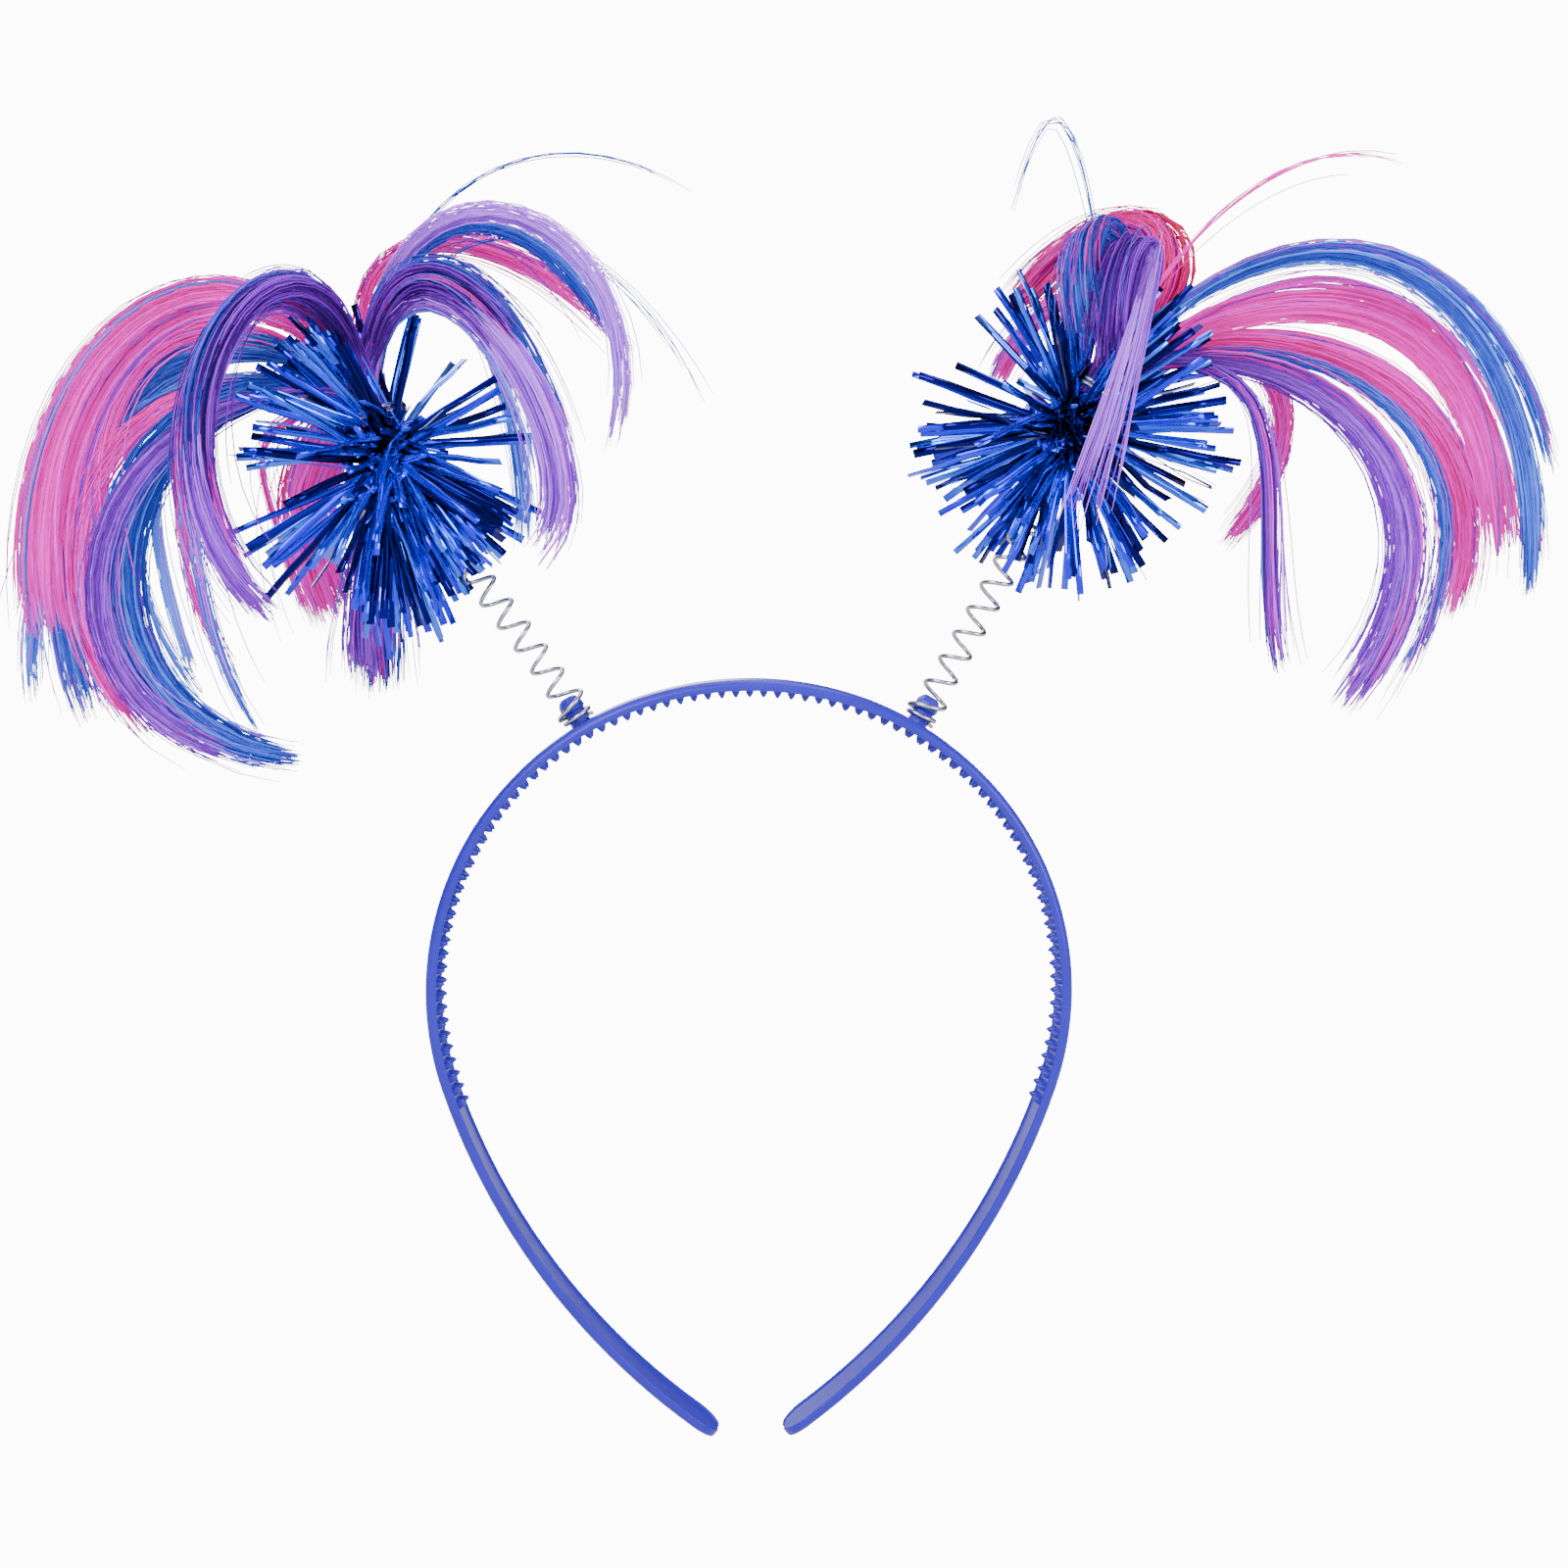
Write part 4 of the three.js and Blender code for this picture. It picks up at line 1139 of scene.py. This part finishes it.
def lock_guide(lock, hank, place):
    """The guide curve of a lock, wide in the picture plane where it starts."""
    start = np.array(place["root"]) + np.array([0, HANK_LAYERS[hank] * LAYER_STEP, 0])
    points = [start - np.array(place["plume"]) * ROOT_DROP]
    for key in ("rise", "bow", "tip"):
        out, back, up = lock[key]
        points.append(start + LOCK_REACH * np.array([place["sign"] * out, back, up]))
    along = unit(points[1] - points[0])
    across = np.cross([0, 1, 0], along)
    return Guide(points, across)


guides = [lock_guide(row, key[1], places[key[0]]) for key, rows in LOCKS.items() for row in rows]
lengths = [round(guide.length / MM) for guide in guides]
print("guides from", min(lengths), "to", max(lengths), "mm long")

# %% Gather fibres in wisps
WISPS_PER_WIDTH = 130  # in a lock of the full width
FEWEST_WISPS = 4
WISP_RADIUS = 0.16 * MM
WISP_SPREAD = 0.45  # half widths of the lock
WISP_DRIFT = 0.2
LOOSE_SHARE = 0.07  # of the wisps of a lock, straying out of it
LOOSE_DRIFT = 4  # times as far as the others
WISP_CUT = 0.05  # how unevenly the wisps are cut, in shares of their length
FIBRE_CUT = 0.03
SHORTEST = 0.5
WISP_SHADE = 0.7  # share of a fibre's shade that it has from its wisp


def wisp_layout(wisps, random):
    """Where each wisp runs and how far it drifts, across the lock and in its depth, in half widths."""
    start = np.clip(random.normal(0, WISP_SPREAD, (wisps, 2)), -1, 1)
    drift = random.normal(0, WISP_DRIFT, (wisps, 2))
    drift[random.random(wisps) < LOOSE_SHARE] *= LOOSE_DRIFT
    return start, drift


print("wisps in a lock of", round(LOCK_WIDTH / MM), "mm:", WISPS_PER_WIDTH)

# %% Lay fibres along a guide
FIBRE_STATIONS = 17  # along the lock, after the straight stretch in the stem
CROSSING_SHARE = 0.09  # of the fibres of a lock, crossing it on their own
CROSSING_REACH = 2.8 * MM
SWELL_ALONG = [0, 0.12, 0.35, 0.6, 0.85, 1]
SWELL_SHARE = [0.35, 0.55, 0.85, 1, 1, 0.9]
LOOSENING = [0.7, 1.6]  # how far a wisp's fibres lie apart at its root and at its tip
WAVE_REACH = (0.2 * MM, 0.8 * MM)
WAVE_TURN = 7  # radians along a fibre
STEM_HALF = (2.8 * MM, 0.88 * MM)  # of one hank in the stem, across and in depth
STEM_TIGHTNESS = 0.6
PARTED_AT = 0.22  # share of the way at which a wisp is in its place in the lock


def lock_lines(lock, hank, place, count, random):
    """Lines of the fibres of one lock, their wide direction, their shade and their wisp."""
    guide = lock_guide(lock, hank, place)
    wisps = max(FEWEST_WISPS, round(lock["width"] * WISPS_PER_WIDTH))
    start, drift = wisp_layout(wisps, random)
    wisp = np.arange(count) % wisps
    uneven = lock["ragged"] * np.abs(random.normal(0, WISP_CUT, wisps))[wisp]
    kept = np.clip(1 - uneven - random.exponential(FIBRE_CUT, count), SHORTEST, 1)
    share = np.linspace(0, 1, FIBRE_STATIONS) * kept[:, None]
    centre, _, across, out = guide.at(share)

    half_width = LOCK_WIDTH * lock["width"] / 2 * np.interp(share, SWELL_ALONG, SWELL_SHARE)
    half_width *= np.interp(share, [0.5, 1], [1, lock["taper"]])
    opening = 1 + (lock["fan"] - 1) * share**3
    offset = start[wisp][:, None] * opening[..., None] + drift[wisp][:, None] * (share**1.5)[..., None]
    local = random.normal(0, WISP_RADIUS, (count, 2))
    crossing = random.normal(0, CROSSING_REACH, (count, 2))
    crossing *= random.random((count, 1)) < CROSSING_SHARE
    apart = np.interp(share, [0, 1], LOOSENING)
    wave = random.uniform(*WAVE_REACH, wisps)[wisp, None] * share
    phase = random.uniform(0, 2 * math.pi, wisps)[wisp, None] + WAVE_TURN * share
    sideways = offset[..., 0] * half_width + wave * np.sin(phase) + local[:, :1] * apart
    outwards = offset[..., 1] * half_width * LOCK_THICKNESS + local[:, 1:] * apart
    sideways += crossing[:, :1] * share
    outwards += crossing[:, 1:] * share

    parted = smooth_step(share, 0, PARTED_AT)
    plume = np.array(place["plume"])
    beside = np.array([plume[2], 0, -plume[0]])
    in_stem = random.uniform(-1, 1, (wisps, 2))[wisp] * np.array(STEM_HALF) + local * STEM_TIGHTNESS
    stem_place = in_stem[:, 0, None] * beside + in_stem[:, 1, None] * np.array([0, 1, 0])
    spread = across * sideways[..., None] + out * outwards[..., None]
    lines = centre + spread * parted[..., None] + stem_place[:, None] * (1 - parted)[..., None]
    foot = lines[:, :1] - plume * (STEM_LENGTH - CORE_RADIUS - FIT_GAP - ROOT_DROP)
    lines = np.concatenate([foot, lines], axis=1)
    across = np.concatenate([np.broadcast_to(beside, foot.shape), across], axis=1)
    shade = WISP_SHADE * random.random(wisps)[wisp] + (1 - WISP_SHADE) * random.random(count)
    # The lock's tone moves all its wisps towards the dye's colour in painted shade below zero, and
    # towards its colour in painted light above zero.
    shade += lock["tone"]
    return lines, across, shade, wisp


print("stations on a fibre:", FIBRE_STATIONS)

# %% Grow both plumes
HANKS = list(HANK_LAYERS)
FIBRES_PER_WIDTH = {"left": 410, "right": 560}  # in a lock of the full width
FIBRE_RADIUS = 0.135 * MM
FIBRE_TIP = 0.6  # share of the radius
HAIR_SEED = 21


def grow_plume(side, place):
    """The fibres of each colour of one plume, own and stray."""
    grown = {hank: [] for hank in HANKS}
    for hank in HANKS:
        for number, lock in enumerate(LOCKS[side, hank] + LONE_HAIRS.get((side, hank), [])):
            random = np.random.default_rng([HAIR_SEED, len(side), HANKS.index(hank), number])
            full = FIBRES_PER_WIDTH[side] * lock["width"]
            count = lock["fibres"] or round(full * lock["dense"])
            *parts, wisp = lock_lines(lock, hank, place, count, random)
            stray = random.random(wisp.max() + 1) < lock["stray"]
            color = np.where(stray, random.integers(0, 3, len(stray)), HANKS.index(hank))[wisp]
            for index, other in enumerate(HANKS):
                grown[other].append([part[color == index] for part in parts])
    return {hank: [np.concatenate(part) for part in zip(*rows)] for hank, rows in grown.items()}


def hank_piece(name, lines, across, shade):
    radius = FIBRE_RADIUS * np.ones(lines.shape[:2])
    radius[:, -1] *= FIBRE_TIP
    hair = bars(name, lines, across, radius, radius, sides=3, shade=shade)
    hair.data.polygons.foreach_set("use_smooth", np.ones(len(hair.data.polygons), bool))
    return hair


plumes = {}
for side, place in places.items():
    for hank, (lines, across, shade) in grow_plume(side, place).items():
        plumes[side, hank] = hank_piece(f"{hank}_fibres_{side}", lines, across, shade)
        print(side, hank, len(lines), "fibres")

# %% [markdown]
# ## Dyed fibre
#
# The fibre is a dyed plastic thread, clear enough that light passes from one to the next. A little
# emission of its own colour is a painted glow that stands for that light. The colour is painted
# deeper near the root, as shade where the fibres lie in each other's shade, and each wisp and fibre
# has a shade of its own, partly tone and partly painted shade and light, that moves its colour
# between the dye's colour in painted shade, its full colour and its colour in painted light.

# %% Finish the plumes
def fibre_finish(name, painted_glow, deep, main, light):
    fibre = Finish(name, Roughness=0.4, IOR=1.45, Specular_IOR_Level=0.1, Emission_Strength=painted_glow)
    shade = fibre.attribute("shade")
    # Each wisp's shade, partly tone and partly painted shade and light, picks its colour between the
    # dye's colour in painted shade, its full colour and its colour in painted light.
    shaded = fibre.blend(shade.rising(-0.1, 0.5), deep, main)
    tone = fibre.blend(shade.rising(0.5, 1.0), shaded, light)
    # Painted shade: towards the root the colour goes, in patches, to the dye's colour in shade, where
    # the fibres lie in each other's shade.
    painted_shade_patch = fibre.noise(55, detail=1).rising(0.35, 0.65)
    depth = (1 - fibre.attribute("along").rising(0.1, 0.75)) * (0.2 + painted_shade_patch * 0.5)
    color = fibre.blend(depth, tone, deep)
    fibre.set("Base Color", color)
    fibre.set("Emission Color", color)
    return fibre


# The painted glow, and the colour in painted shade, in full and in painted light
DYES = {
    "pink": (0.3, (0.42, 0.0, 0.06, 1), (0.84, 0.0, 0.52, 1), (1.0, 0.05, 1.0, 1)),
    "blue": (0.15, (0.003, 0.003, 0.1, 1), (0.03, 0.06, 0.6, 1), (0.13, 0.28, 1.0, 1)),
    "violet": (0.16, (0.03, 0.0, 0.12, 1), (0.24, 0.015, 0.66, 1), (0.52, 0.14, 1.0, 1)),
}
FIBRE_FINISHES = {hank: fibre_finish(f"{hank}_fibre", *dye) for hank, dye in DYES.items()}
for (side, hank), hair in plumes.items():
    finished(hair, FIBRE_FINISHES[hank], f"{hank}_fibre", f"{hank}_hair_{side}")
